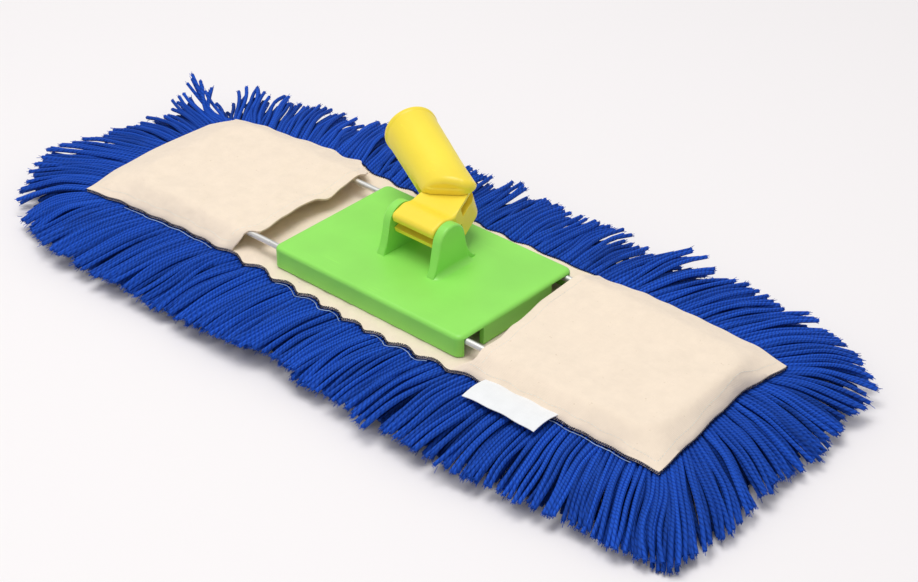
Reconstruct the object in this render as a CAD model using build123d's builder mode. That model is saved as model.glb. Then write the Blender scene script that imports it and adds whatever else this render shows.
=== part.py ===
"""A flat dust mop head with a swivelling handle socket.

A moulded centre plate carries two bent wire loops that fold down at its ends, and a two-axis
swivel for the handle. A canvas cover with two end pockets slips over the loops. Its underside
has rows of yarn and its rim a yarn fringe. X runs along the mop, Y across it and Z up.
The origin lies on the floor under the middle of the plate. All sizes are in millimetres.
"""

import math
import os

from build123d import *

os.makedirs("parts", exist_ok=True)

# Cover: canvas backing, yarn underneath, fringe around
cover_length = 456.0
cover_width = 127.0
cover_shift_x = -8.0
cover_shift_y = 5.0
cover_corner = 10.0
pile_height = 22.5
backing_thick = 1.4
backing_rim_drop = 1.5
backing_rim_slope = 12.0
cloth_gap = 0.1
row_count = 7
row_groove_depth = 5.0
row_groove_width = 4.5
left_end_droop = 5.0
right_end_droop = 1.0
end_crown = 1.0

# Where the cover bends with the folding loops, in from the plate's ends
fold_inset = 15.0
fold_gap = 0.3

# Centre plate
plate_length = 150.0
plate_width = 100.0
plate_height = 13.5
plate_skin = 2.2
plate_wall = 3.0
plate_corner = 5.0
plate_edge_round = 2.8
notch_width = 16.3
notch_wall_gap = 0.7
rib_thick = 2.0
rib_offset = 14.0
rib_height = 8.0

# Wire loops and their hinges under the plate
wire_diameter = 4.0
wire_clearance = 0.3
wire_inset = 6.0
wire_end_room = 25.0
wire_hinge_inset = 29.0
wire_bend = 14.0
stub_bend = 5.0
stub_length = 13.0
hinge_clearance = 0.05
hinge_boss_thick = 6.0
hinge_boss_gap = 0.5
hinge_boss_length = 12.0
hinge_boss_drop = 5.0

# Lugs on the plate and the tilt pivot
lug_gap = 34.0
lug_thick = 6.0
lug_radius = 11.0
lug_base_width = 30.0
lug_root_round = 4.0
lug_edge_round = 1.5
pivot_rise = 18.5
pivot_shift_y = 2.0
trunnion_diameter = 8.0
trunnion_depth = 4.0
pivot_clearance = 0.05
pivot_end_clearance = 0.3

# Yoke between the lugs, lying back in the rest pose
yoke_lean = 18.0
yoke_side_clearance = 0.5
yoke_front = 8.0
yoke_shoulder = 12.0
yoke_reach = 27.0
yoke_end_radius = 12.2
yoke_wall = 3.0
yoke_wall_end = 19.0
yoke_slot = 6.0
yoke_slot_open = 3.0
yoke_lower_plate = 3.0
yoke_floor = 1.6
yoke_bar_rise = 3.6
yoke_bar_end = 3.5
yoke_deck_start = 10.0
yoke_valley_round = 7.0
yoke_bar_round = 7.0
yoke_front_round = 3.2
yoke_hub_radius = 7.5
yoke_heel = 11.0
yoke_heel_start = 16.0
yoke_heel_round = 1.5
yoke_edge_round = 1.8

# Rivet of the swing pivot
rivet_diameter = 6.0
rivet_head_diameter = 10.4
rivet_head = 1.5

# Handle socket, swung to one side in the rest pose
socket_swing = 62.3
socket_start = 13.5
socket_length = 57.0
socket_base_radius = 15.8
socket_mouth_radius = 16.6
socket_lip = 0.5
socket_lip_length = 4.0
socket_lip_slope = 1.0
socket_shoulder = 4.0
hood_front = 5.0
hood_slant = 37.0
hood_reach = 22.0
hood_radius = 16.4
hood_near_round = 6.5
hood_far_round = 6.0
hood_setback = 1.0
hood_edge_round = 4.0
flange_height = 5.0
flange_near_half = 15.2
flange_far_half = 13.6
flange_back = 16.0
flange_back_half = 12.0
flange_round = 1.8
hood_clearance = 0.4
hood_overlap = 2.0
handle_diameter = 25.4
handle_clearance = 0.2
socket_bore_depth = 50.0
socket_bore_chamfer = 0.8
tongue_clearance = 0.3
tongue_radius = 9.0
tongue_neck = 19.0
tongue_overlap = 1.0

# Pockets of the cover
pocket_thick = 1.6
pocket_clearance = 0.4
left_mouth_gap = 22.0
right_mouth_gap = 10.0
left_mouth_skew = 0.0
right_mouth_skew = 5.6
pocket_sag = 2.4
pocket_end_bulge = 0.36
pocket_slack_rise = 2.0
pocket_shoulder_drop = 0.6
pocket_slope_share = 0.55
mouth_wave = 1.6
mouth_lift = 2.2
mouth_sag_share = 0.4
sag_start_share = 0.2
sag_end_share = 0.7

# Yarn fringe
strand_width = 2.5
strand_pitch = 3.0
strand_root = 2.0
hem_width = 4.0
hem_height = 9.6
front_fringe = 43.0
back_fringe = 62.0
left_fringe = 57.0
right_fringe = 42.0
front_tip = 4.0
back_tip = 16.0
left_tip = 11.0
right_tip = 5.0
tip_depth = 8.0
tip_slant = 1.5
floor_start_share = 0.3
floor_end_share = 0.75
bend_share = 0.6
bend_fall_share = 0.55
reach_unevenness = 3.5
corner_strands = 16
corner_fill = 0.78

# Blank sewn-in label
label_length = 45.0
label_reach = 18.0
label_thick = 0.7
label_from_mouth = 39.0

# Small allowances for cuts that pass right through and for picking edges
cut_overshoot = 1.0
pick_tolerance = 0.01
root_margin = 0.5

# Heights that follow from the sizes above
backing_top = pile_height + backing_thick
rim_top = backing_top - backing_rim_drop
rim_bottom = rim_top - backing_thick
plate_bottom = backing_top
plate_top = plate_bottom + plate_height
plate_under = plate_top - plate_skin
wire_radius = wire_diameter / 2
wire_z = plate_under - wire_clearance - wire_radius
wire_y = plate_width / 2 - wire_inset
wire_hinge_x = plate_length / 2 - wire_hinge_inset
wire_reach = cover_length / 2 - wire_end_room
fold_line = plate_length / 2 - fold_inset
left_mouth = plate_length / 2 + left_mouth_gap
right_mouth = plate_length / 2 + right_mouth_gap
pivot_z = plate_top + pivot_rise
cover_left = cover_shift_x - cover_length / 2
cover_right = cover_shift_x + cover_length / 2
cover_near = cover_shift_y - cover_width / 2
cover_far = cover_shift_y + cover_width / 2


def save(piece, name):
    """Labels a finished piece and writes it."""
    piece.part.label = name
    export_step(piece.part, "parts/" + name + ".step")


# Centre plate: a hollow moulding with open notches for the wires and two lugs
half_length = plate_length / 2
half_width = plate_width / 2
notch_far = half_width - plate_wall - notch_wall_gap
notch_middle = notch_far - notch_width / 2
boss_far = wire_y - stub_bend - hinge_boss_gap
boss_middle = boss_far - hinge_boss_thick / 2
boss_bottom = wire_z - hinge_boss_drop
lug_outer = lug_gap / 2 + lug_thick
with BuildPart() as centre_plate:
    with BuildSketch(Plane.XY.offset(plate_bottom)):
        RectangleRounded(plate_length, plate_width, plate_corner)
    extrude(amount=plate_height)
    fillet(centre_plate.edges().group_by(Axis.Z)[-1], radius=plate_edge_round)
    with BuildSketch(Plane.XY.offset(plate_bottom)):
        inner_length = plate_length - 2 * plate_wall
        inner_width = plate_width - 2 * plate_wall
        RectangleRounded(inner_length, inner_width, plate_corner - plate_wall)
    extrude(amount=plate_height - plate_skin, mode=Mode.SUBTRACT)
    for side in (-1, 1):
        with BuildSketch(Plane.YZ.offset(side * lug_gap / 2)):
            with Locations((pivot_shift_y, pivot_z)):
                Circle(lug_radius)
            with Locations((pivot_shift_y, plate_top - plate_skin / 4)):
                Rectangle(lug_base_width, plate_skin / 2)
            make_hull()
        extrude(amount=side * lug_thick)
    for side in (-1, 1):
        cheek = centre_plate.faces().filter_by(Axis.X).filter_by_position(
            Axis.X, side * lug_outer - pick_tolerance, side * lug_outer + pick_tolerance)
        fillet(cheek.edges().sort_by(Axis.Z)[1:], radius=lug_edge_round)
    roots = centre_plate.edges().filter_by_position(Axis.Y, -half_width / 2, half_width / 2)
    roots = roots.filter_by_position(Axis.Z, plate_top - pick_tolerance, plate_top + pick_tolerance)
    root_low = lug_gap / 2 + root_margin
    root_high = lug_outer + pick_tolerance
    outer_roots = roots.filter_by_position(Axis.X, root_low, root_high)
    outer_roots += roots.filter_by_position(Axis.X, -root_high, -root_low)
    fillet(outer_roots, radius=lug_root_round)
    for side in (-1, 1):
        with BuildSketch(Plane.YZ.offset(side * lug_gap / 2)):
            with Locations((pivot_shift_y, pivot_z)):
                Circle(trunnion_diameter / 2 + pivot_clearance)
        extrude(amount=side * (trunnion_depth + pivot_end_clearance), mode=Mode.SUBTRACT)
    with BuildSketch(Plane.XY.offset(plate_under)):
        for side in (-1, 1):
            with Locations((0, side * rib_offset)):
                Rectangle(plate_length - 2 * plate_wall, rib_thick)
            with Locations((side * (lug_gap + lug_thick) / 2, 0)):
                Rectangle(rib_thick, 2 * rib_offset)
    extrude(amount=-rib_height)
    with BuildSketch(Plane.XY.offset(plate_under)):
        for end in (-1, 1):
            for side in (-1, 1):
                with Locations((end * wire_hinge_x, side * boss_middle)):
                    Rectangle(hinge_boss_length, hinge_boss_thick)
    extrude(amount=boss_bottom - plate_under)
    with BuildSketch(Plane.XZ):
        for end in (-1, 1):
            with Locations((end * wire_hinge_x, wire_z)):
                Circle(wire_radius + hinge_clearance)
    extrude(amount=boss_far + cut_overshoot, both=True, mode=Mode.SUBTRACT)
    with BuildSketch(Plane.XY.offset(plate_bottom)):
        for end in (-1, 1):
            for side in (-1, 1):
                with Locations((end * half_length, side * notch_middle)):
                    Rectangle(2 * plate_wall + cut_overshoot, notch_width)
    extrude(amount=plate_height - plate_skin, mode=Mode.SUBTRACT)
save(centre_plate, "centre_plate")

# Wire loops, bent in at the hinge ends
for side, name in ((-1, "left_wire_loop"), (1, "right_wire_loop")):
    hinge_x = side * wire_hinge_x
    reach = side * wire_reach
    stub_y = wire_y - stub_length
    with BuildPart() as wire_loop:
        with BuildLine(Plane.XY.offset(wire_z)) as loop_path:
            FilletPolyline(
                (hinge_x, stub_y),
                (hinge_x, wire_y),
                (reach, wire_y),
                (reach, -wire_y),
                (hinge_x, -wire_y),
                (hinge_x, -stub_y),
                radius=[stub_bend, wire_bend, wire_bend, stub_bend],
            )
        with BuildSketch(Plane(origin=(hinge_x, stub_y, wire_z), z_dir=(0, 1, 0))):
            Circle(wire_radius)
        sweep()
    save(wire_loop, name)

# Yoke: a forked block on two trunnions, a front bar with a lower deck behind it and a slot through both ends
lean = math.radians(yoke_lean)
along = (0, math.cos(lean), math.sin(lean))
normal = (0, -math.sin(lean), math.cos(lean))
pivot = (0, pivot_shift_y, pivot_z)
yoke_plan = Plane(origin=pivot, x_dir=(1, 0, 0), z_dir=normal)
yoke_side = Plane(origin=pivot, x_dir=along, z_dir=(1, 0, 0))
swing_line = Axis(pivot, normal)
yoke_half = lug_gap / 2 - yoke_side_clearance
floor_top = yoke_slot + yoke_floor
bar_top = floor_top + yoke_bar_rise
yoke_bottom = -yoke_lower_plate
yoke_thick = bar_top - yoke_bottom
taper_run = yoke_reach - yoke_shoulder
taper_span = math.hypot(yoke_half, taper_run)
taper_turn = math.atan2(taper_run, -yoke_half) - math.asin(yoke_end_radius / taper_span)
taper_length = math.sqrt(taper_span**2 - yoke_end_radius**2)
round_half = yoke_half + taper_length * math.cos(taper_turn)
round_start = yoke_shoulder + taper_length * math.sin(taper_turn)
side_slope = (yoke_half - round_half) / (round_start - yoke_shoulder)
heel_half = yoke_half - side_slope * (yoke_heel_start - yoke_shoulder)
wall_end_half = yoke_half - side_slope * (yoke_wall_end - yoke_shoulder) - yoke_wall
with BuildPart() as yoke:
    with BuildSketch(yoke_plan.offset(yoke_bottom)):
        with BuildLine():
            Polyline(
                (-yoke_half, -yoke_front),
                (yoke_half, -yoke_front),
                (yoke_half, yoke_shoulder),
                (round_half, round_start),
                (-round_half, round_start),
                (-yoke_half, yoke_shoulder),
                close=True,
            )
        make_face()
        with Locations((0, yoke_reach)):
            Circle(yoke_end_radius)
    extrude(amount=yoke_thick)
    front_edges = yoke.faces().sort_by(Axis.Y)[0].edges().filter_by(Axis.X)
    fillet(front_edges.sort_by(Axis.Z)[-1], radius=yoke_front_round)
    with BuildSketch(yoke_side.offset(-yoke_half)):
        Circle(yoke_hub_radius)
    extrude(amount=2 * yoke_half)
    with BuildSketch(yoke_plan):
        with BuildLine():
            inner = yoke_half - yoke_wall
            outer = yoke_half + yoke_wall
            beyond = yoke_reach + 2 * yoke_end_radius
            ahead = -2 * yoke_front
            Polyline(
                (-outer, ahead),
                (outer, ahead),
                (outer, -yoke_slot_open),
                (inner, -yoke_slot_open),
                (inner, yoke_shoulder),
                (wall_end_half, yoke_wall_end),
                (outer, yoke_wall_end),
                (outer, beyond),
                (-outer, beyond),
                (-outer, yoke_wall_end),
                (-wall_end_half, yoke_wall_end),
                (-inner, yoke_shoulder),
                (-inner, -yoke_slot_open),
                (-outer, -yoke_slot_open),
                close=True,
            )
        make_face()
    extrude(amount=yoke_slot, mode=Mode.SUBTRACT)
    with BuildSketch(yoke_plan.offset(yoke_bottom - yoke_hub_radius)):
        with Locations((0, 0)):
            Rectangle(2 * (yoke_half - yoke_wall), 2 * yoke_hub_radius)
    extrude(amount=yoke_hub_radius, mode=Mode.SUBTRACT)
    with BuildSketch(yoke_side.offset(-outer)):
        with BuildLine():
            Polyline(
                (yoke_bar_end, bar_top),
                (yoke_deck_start, floor_top),
                (beyond, floor_top),
                (beyond, 2 * bar_top),
                (yoke_bar_end, 2 * bar_top),
                close=True,
            )
        make_face()
        fillet(vertices().sort_by(Axis.Y)[0:2].sort_by(Axis.X)[0], radius=yoke_valley_round)
    extrude(amount=2 * outer, mode=Mode.SUBTRACT)
    bar_edges = yoke.faces().sort_by(swing_line)[-1].edges()
    fillet(bar_edges.filter_by(Axis.X).sort_by(Axis.Y)[-1], radius=yoke_bar_round)
    bar_edges = yoke.faces().sort_by(swing_line)[-1].edges()
    fillet(bar_edges.filter_by(Axis.X, reverse=True), radius=yoke_edge_round)
    with BuildSketch(yoke_plan.offset(yoke_bottom)):
        with BuildLine():
            Polyline(
                (-heel_half, yoke_heel_start),
                (heel_half, yoke_heel_start),
                (round_half, round_start),
                (-round_half, round_start),
                close=True,
            )
        make_face()
        with Locations((0, yoke_reach)):
            Circle(yoke_end_radius)
    extrude(amount=-yoke_heel)
    with BuildSketch(yoke_plan.offset(yoke_bottom - yoke_heel)):
        with Locations((0, yoke_reach)):
            Circle(rivet_diameter / 2)
    extrude(amount=yoke_thick + yoke_heel, mode=Mode.SUBTRACT)
    fillet(yoke.faces().sort_by(swing_line)[0].outer_wire().edges(), radius=yoke_heel_round)
    for side in (-1, 1):
        with BuildSketch(yoke_side.offset(side * yoke_half)):
            Circle(trunnion_diameter / 2)
        extrude(amount=side * (yoke_side_clearance + trunnion_depth))
save(yoke, "swivel_yoke")

# Rivet through the yoke's fork
rivet_low = yoke_bottom - yoke_heel
rivet_high = floor_top
with BuildPart() as rivet:
    with BuildSketch(yoke_plan.offset(rivet_low)):
        with Locations((0, yoke_reach)):
            Circle(rivet_diameter / 2)
    extrude(amount=rivet_high - rivet_low)
    with BuildSketch(yoke_plan.offset(rivet_low)):
        with Locations((0, yoke_reach)):
            Circle(rivet_head_diameter / 2)
    extrude(amount=-rivet_head)
save(rivet, "swing_rivet")

# Handle socket: a tube with a flat tongue that turns on the rivet and a flanged hood over the deck
swing = math.radians(socket_swing)
slot_middle = yoke_slot / 2
swing_centre = tuple(p + yoke_reach * a + slot_middle * n for p, a, n in zip(pivot, along, normal))
socket_axis = (-math.sin(swing), math.cos(swing) * along[1], math.cos(swing) * along[2])
socket_plane = Plane(origin=swing_centre, x_dir=socket_axis, z_dir=normal)
tongue_thick = yoke_slot - 2 * tongue_clearance
bore_radius = handle_diameter / 2 + handle_clearance
mouth = socket_start + socket_length
lip_start = mouth - socket_lip_length
bore_floor = mouth - socket_bore_depth
lip_radius = socket_mouth_radius + socket_lip
hood_under = floor_top - slot_middle + hood_clearance
hood_back = socket_start + socket_shoulder + hood_overlap
hood_half = math.sqrt(hood_radius**2 - hood_under**2)
slant = math.radians(hood_slant)
hood_step = hood_half * math.tan(slant)
hood_end = hood_front - hood_setback
near_step = flange_near_half * math.tan(slant)
far_step = flange_far_half * math.tan(slant)
with BuildPart() as flange:
    with BuildSketch(socket_plane.offset(hood_under)):
        with BuildLine():
            Polyline(
                (flange_back, -flange_back_half),
                (-hood_front - near_step, -flange_near_half),
                (-hood_front + far_step, flange_far_half),
                (flange_back, flange_back_half),
                close=True,
            )
        make_face()
        fillet(vertices().sort_by(Axis.X)[0], radius=hood_near_round)
        fillet(vertices().sort_by(Axis.Y)[-1], radius=hood_far_round)
    extrude(amount=flange_height)
    fillet(flange.faces().sort_by(swing_line)[-1].edges(), radius=flange_round)
with BuildPart() as hood:
    with BuildSketch(socket_plane):
        with BuildLine():
            Polyline(
                (-hood_reach, 0),
                (-hood_reach, hood_radius),
                (hood_back, socket_base_radius),
                (hood_back, 0),
                close=True,
            )
        make_face()
    revolve(axis=Axis(swing_centre, socket_axis))
    with BuildSketch(socket_plane.offset(hood_under)):
        with BuildLine():
            Polyline(
                (hood_back, -hood_half),
                (-hood_end - hood_step, -hood_half),
                (-hood_end + hood_step, hood_half),
                (hood_back, hood_half),
                close=True,
            )
        make_face()
        fillet(vertices().sort_by(Axis.X)[0], radius=hood_near_round)
        fillet(vertices().sort_by(Axis.X)[-3], radius=hood_far_round)
    extrude(amount=hood_radius, mode=Mode.INTERSECT)
    end_edges = hood.faces().sort_by(SortBy.AREA)[-1].edges().sort_by(Axis(swing_centre, socket_axis))
    fillet(end_edges[0:3], radius=hood_edge_round)
with BuildPart() as socket:
    with BuildSketch(socket_plane):
        with BuildLine():
            Polyline(
                (socket_start, 0),
                (socket_start, socket_base_radius - socket_shoulder),
                (socket_start + socket_shoulder, socket_base_radius),
                (lip_start, socket_mouth_radius),
                (lip_start + socket_lip_slope, lip_radius),
                (mouth - socket_lip_slope, lip_radius),
                (mouth, lip_radius - socket_lip_slope),
                (mouth, bore_radius + socket_bore_chamfer),
                (mouth - socket_bore_chamfer, bore_radius),
                (bore_floor, bore_radius),
                (bore_floor, 0),
                close=True,
            )
        make_face()
    revolve(axis=Axis(swing_centre, socket_axis))
    with BuildSketch(socket_plane.offset(-tongue_thick / 2)):
        Circle(tongue_radius)
        with BuildLine():
            Polyline(
                (0, tongue_radius),
                (0, -tongue_radius),
                (socket_start + tongue_overlap, -tongue_neck / 2),
                (socket_start + tongue_overlap, tongue_neck / 2),
                close=True,
            )
        make_face()
    extrude(amount=tongue_thick)
    with BuildSketch(socket_plane.offset(-tongue_thick)):
        Circle(rivet_diameter / 2 + pivot_clearance)
    extrude(amount=2 * tongue_thick, mode=Mode.SUBTRACT)
    add(hood.part)
    add(flange.part)
save(socket, "handle_socket")


def backing_section(top, rim):
    """Outline of the canvas across the mop: a raised middle with sloping rims."""
    shoulder_near = cover_near + backing_rim_slope
    shoulder_far = cover_far - backing_rim_slope
    upper = [(cover_near, rim), (shoulder_near, top), (shoulder_far, top), (cover_far, rim)]
    lower = [(y, z - backing_thick) for y, z in reversed(upper)]
    return upper + lower


def pile_section(top, rim):
    """Outline of the yarn rows across the mop: grooves below, the canvas shape above."""
    near = cover_near + hem_width + cloth_gap
    far = cover_far - hem_width - cloth_gap
    pitch = (far - near) / row_count
    half = row_groove_width / 2
    under = [(near, 0)]
    for row in range(1, row_count):
        middle = near + row * pitch
        under += [(middle - half, 0), (middle, row_groove_depth), (middle + half, 0)]
    under.append((far, 0))
    slope = (top - rim) / backing_rim_slope
    rim_in = rim - backing_thick - cloth_gap + slope * (hem_width + cloth_gap)
    flat = top - backing_thick - cloth_gap
    over = [(far, rim_in), (cover_far - backing_rim_slope, flat)]
    over += [(cover_near + backing_rim_slope, flat), (near, rim_in)]
    return under + over


left_stations = [
    (-fold_line - fold_gap, backing_top, rim_top),
    (cover_left + cover_corner, backing_top, rim_top),
    (cover_left, rim_top - left_end_droop + end_crown, rim_top - left_end_droop),
]
right_stations = [
    (fold_line + fold_gap, backing_top, rim_top),
    (cover_right - cover_corner, backing_top, rim_top),
    (cover_right, rim_top - right_end_droop + end_crown, rim_top - right_end_droop),
]
centre_stations = [
    (-fold_line, backing_top, rim_top),
    (fold_line, backing_top, rim_top),
]
cover_spans = (("left", left_stations), ("centre", centre_stations), ("right", right_stations))

# Canvas backing and yarn rows, in three lengths that meet at the fold lines
for name, stations in cover_spans:
    with BuildPart() as backing:
        for x, top, rim in stations:
            with BuildSketch(Plane.YZ.offset(x)):
                with BuildLine():
                    Polyline(*backing_section(top, rim), close=True)
                make_face()
        loft(ruled=True)
        with BuildSketch(Plane.XY):
            with Locations((cover_shift_x, cover_shift_y)):
                RectangleRounded(cover_length, cover_width, cover_corner)
        extrude(amount=2 * backing_top, mode=Mode.INTERSECT)
    save(backing, "backing_" + name)
    inset = hem_width + cloth_gap
    with BuildPart() as pile:
        for x, top, rim in stations:
            with BuildSketch(Plane.YZ.offset(x)):
                with BuildLine():
                    Polyline(*pile_section(top, rim), close=True)
                make_face()
        loft(ruled=True)
        with BuildSketch(Plane.XY):
            with Locations((cover_shift_x, cover_shift_y)):
                RectangleRounded(cover_length - 2 * inset, cover_width - 2 * inset, cover_corner - inset)
        extrude(amount=2 * backing_top, mode=Mode.INTERSECT)
    save(pile, "yarn_rows_" + name)

# Pockets over the wire loops
over_wire = wire_z + wire_radius + pocket_clearance + pocket_thick
pocket_slack = backing_top + pocket_thick + pocket_slack_rise


def pocket_section(crest, sag, rim, wave):
    """Outline of a pocket across the mop: over both wires and down to the rim seams."""
    shoulder = wire_y + wire_radius + pocket_clearance
    near_mid = (cover_near - shoulder) / 2
    far_mid = (cover_far + shoulder) / 2
    slope_z = rim + pocket_slope_share * (crest - rim)
    upper = [
        (cover_near, rim),
        (near_mid, slope_z),
        (-shoulder, crest - pocket_shoulder_drop),
        (-wire_y, crest + wave / 3),
        (-wire_y / 2, crest - 3 * sag / 4 + wave),
        (0, crest - sag - wave / 2),
        (wire_y / 2, crest - 3 * sag / 4 + wave),
        (wire_y, crest + wave / 3),
        (shoulder, crest - pocket_shoulder_drop),
        (far_mid, slope_z),
        (cover_far, rim),
    ]
    lower = [(y, z - pocket_thick) for y, z in reversed(upper)]
    return upper + lower


rim_seat = rim_top + pocket_thick + cloth_gap
end_lift = pocket_thick + pocket_shoulder_drop + cloth_gap
left_seat = left_stations[-1][1] + end_lift
right_seat = right_stations[-1][1] + end_lift
left_slack = cover_left + cover_corner
left_ending = [(left_slack, pocket_slack, rim_seat), (cover_left, left_seat, left_seat)]
right_ending = [(cover_right, right_seat, right_seat)]
pocket_spans = (
    ("left", -1, left_mouth, left_mouth_skew, left_ending),
    ("right", 1, right_mouth, right_mouth_skew, right_ending),
)
for name, side, mouth_x, mouth_skew, ending in pocket_spans:
    length = wire_reach - mouth_x
    stations = [
        (side * (mouth_x + sag_start_share * length), over_wire, pocket_sag, rim_seat),
        (side * (mouth_x + sag_end_share * length), over_wire, pocket_sag, rim_seat),
        (side * (wire_reach + wire_radius), over_wire, -pocket_end_bulge, rim_seat),
    ]
    stations += [(x, crest, -pocket_end_bulge, rim) for x, crest, rim in ending]
    skew = math.radians(mouth_skew)
    mouth_plane = Plane(
        origin=(side * mouth_x, 0, 0),
        x_dir=(-math.sin(skew), math.cos(skew), 0),
        z_dir=(math.cos(skew), math.sin(skew), 0),
    )
    with BuildPart() as pocket:
        with BuildSketch(mouth_plane):
            with BuildLine():
                mouth_crest = over_wire + mouth_lift
                mouth_sag = mouth_sag_share * pocket_sag
                Polyline(*pocket_section(mouth_crest, mouth_sag, rim_seat, mouth_wave), close=True)
            make_face()
        for x, crest, sag, rim in stations:
            with BuildSketch(Plane.YZ.offset(x)):
                with BuildLine():
                    Polyline(*pocket_section(crest, sag, rim, 0.0), close=True)
                make_face()
        loft(ruled=True)
        with BuildSketch(Plane.XY):
            with Locations((cover_shift_x, cover_shift_y)):
                RectangleRounded(cover_length, cover_width, cover_corner)
        extrude(amount=2 * pivot_z, mode=Mode.INTERSECT)
    save(pocket, name + "_pocket")


def strand_outline(start, reach, hem_base, tip_high):
    """Side view of one clump of yarn: it leaves the hem, bends down and lies on the floor."""
    hem_top = hem_base + hem_height
    return [
        (start - strand_root, hem_base),
        (start + floor_start_share * reach, 0),
        (start + floor_end_share * reach, 0),
        (start + reach, max(0.0, tip_high - tip_depth)),
        (start + reach + tip_slant, tip_high),
        (start + bend_share * reach, tip_high + bend_fall_share * (hem_top - tip_high)),
        (start - strand_root, hem_top),
    ]


def uneven(index):
    """A repeatable unevenness for the strand with this number."""
    return reach_unevenness * (math.sin(1.7 * index) + math.sin(0.61 * index + 1.0)) / 2


# Long fringes, in lengths that follow the three parts of the cover
long_spans = (
    ("left", cover_left + cover_corner, -fold_line - fold_gap),
    ("centre", -fold_line, fold_line),
    ("right", fold_line + fold_gap, cover_right - cover_corner),
)
long_sides = (
    ("front", -1, cover_near, front_fringe, front_tip),
    ("back", 1, cover_far, back_fringe, back_tip),
)
long_hem = rim_bottom - cloth_gap - hem_height
for side_name, side, edge, reach, tip in long_sides:
    for span_name, x_low, x_high in long_spans:
        count = round((x_high - x_low) / strand_pitch)
        pitch = (x_high - x_low) / count
        with BuildPart() as fringe:
            with BuildSketch(Plane.XY.offset(long_hem)):
                with Locations(((x_low + x_high) / 2, edge - side * hem_width / 2)):
                    Rectangle(x_high - x_low, hem_width)
            extrude(amount=hem_height)
            for strand in range(count):
                x = x_low + (strand + 0.5) * pitch
                strand_plane = Plane(origin=(x, edge, 0), x_dir=(0, side, 0), z_dir=(side, 0, 0))
                with BuildSketch(strand_plane.offset(-strand_width / 2)):
                    with BuildLine():
                        Polyline(*strand_outline(0, reach + uneven(strand), long_hem, tip), close=True)
                    make_face()
            extrude(amount=strand_width)
        save(fringe, "fringe_" + side_name + "_" + span_name)

# End fringes, which turn both corners
left_hem = left_stations[-1][2] - backing_thick - cloth_gap - hem_height
right_hem = right_stations[-1][2] - backing_thick - cloth_gap - hem_height
end_sides = (
    ("left", -1, cover_left, left_fringe, left_tip, left_hem),
    ("right", 1, cover_right, right_fringe, right_tip, right_hem),
)
for name, side, edge, reach, tip, hem_base in end_sides:
    straight = cover_width - 2 * cover_corner
    count = round(straight / strand_pitch)
    pitch = straight / count
    corner_x = edge - side * cover_corner
    split_x = corner_x + side * fold_gap
    with BuildPart() as fringe:
        with BuildSketch(Plane.XY.offset(hem_base)):
            with Locations((cover_shift_x, cover_shift_y)):
                RectangleRounded(cover_length, cover_width, cover_corner)
                RectangleRounded(
                    cover_length - 2 * hem_width,
                    cover_width - 2 * hem_width,
                    cover_corner - hem_width,
                    mode=Mode.SUBTRACT,
                )
            with Locations((split_x - side * cover_length, cover_shift_y)):
                Rectangle(2 * cover_length, 2 * cover_width, mode=Mode.SUBTRACT)
        extrude(amount=hem_height)
        for strand in range(count):
            y = cover_shift_y - straight / 2 + (strand + 0.5) * pitch
            strand_plane = Plane(origin=(edge, y, 0), x_dir=(side, 0, 0), z_dir=(0, -side, 0))
            with BuildSketch(strand_plane.offset(-strand_width / 2)):
                with BuildLine():
                    Polyline(*strand_outline(0, reach + uneven(strand), hem_base, tip), close=True)
                make_face()
        extrude(amount=strand_width)
        for corner in (-1, 1):
            long_reach = front_fringe if corner < 0 else back_fringe
            long_tip = front_tip if corner < 0 else back_tip
            corner_y = cover_shift_y + corner * (cover_width / 2 - cover_corner)
            corner_axis = Axis((corner_x, corner_y, 0), (0, 0, 1))
            step = 90 / corner_strands
            for strand in range(corner_strands):
                turn = (strand + 0.5) / corner_strands
                angle = math.radians(90 * turn - side * corner * corner_fill * step / 2)
                out = (side * math.cos(angle), corner * math.sin(angle), 0)
                across = (out[1], -out[0], 0)
                strand_reach = reach + (long_reach - reach) * turn + uneven(strand)
                strand_tip = tip + (long_tip - tip) * turn
                with BuildSketch(Plane(origin=(corner_x, corner_y, 0), x_dir=out, z_dir=across)):
                    with BuildLine():
                        outline = strand_outline(cover_corner, strand_reach, hem_base, strand_tip)
                        Polyline(*outline, close=True)
                    make_face()
            revolve(axis=corner_axis, revolution_arc=corner_fill * step)
    save(fringe, "fringe_end_" + name)

# Label sewn into the front seam of the right pocket
label_middle = right_mouth + label_from_mouth
with BuildPart() as label:
    with BuildSketch(Plane.XY.offset(rim_bottom + (backing_thick - label_thick) / 2)):
        with Locations((label_middle, cover_near - label_reach / 2)):
            Rectangle(label_length, label_reach)
    extrude(amount=label_thick)
save(label, "blank_label")
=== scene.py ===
"""Looks of a flat dust mop head: canvas, yarn and finishes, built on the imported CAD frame."""
import logging
import math
import random
from dataclasses import dataclass
from enum import Enum
from typing import Callable, Sequence

import bmesh
import bpy
from mathutils import Matrix, Vector, noise


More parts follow.
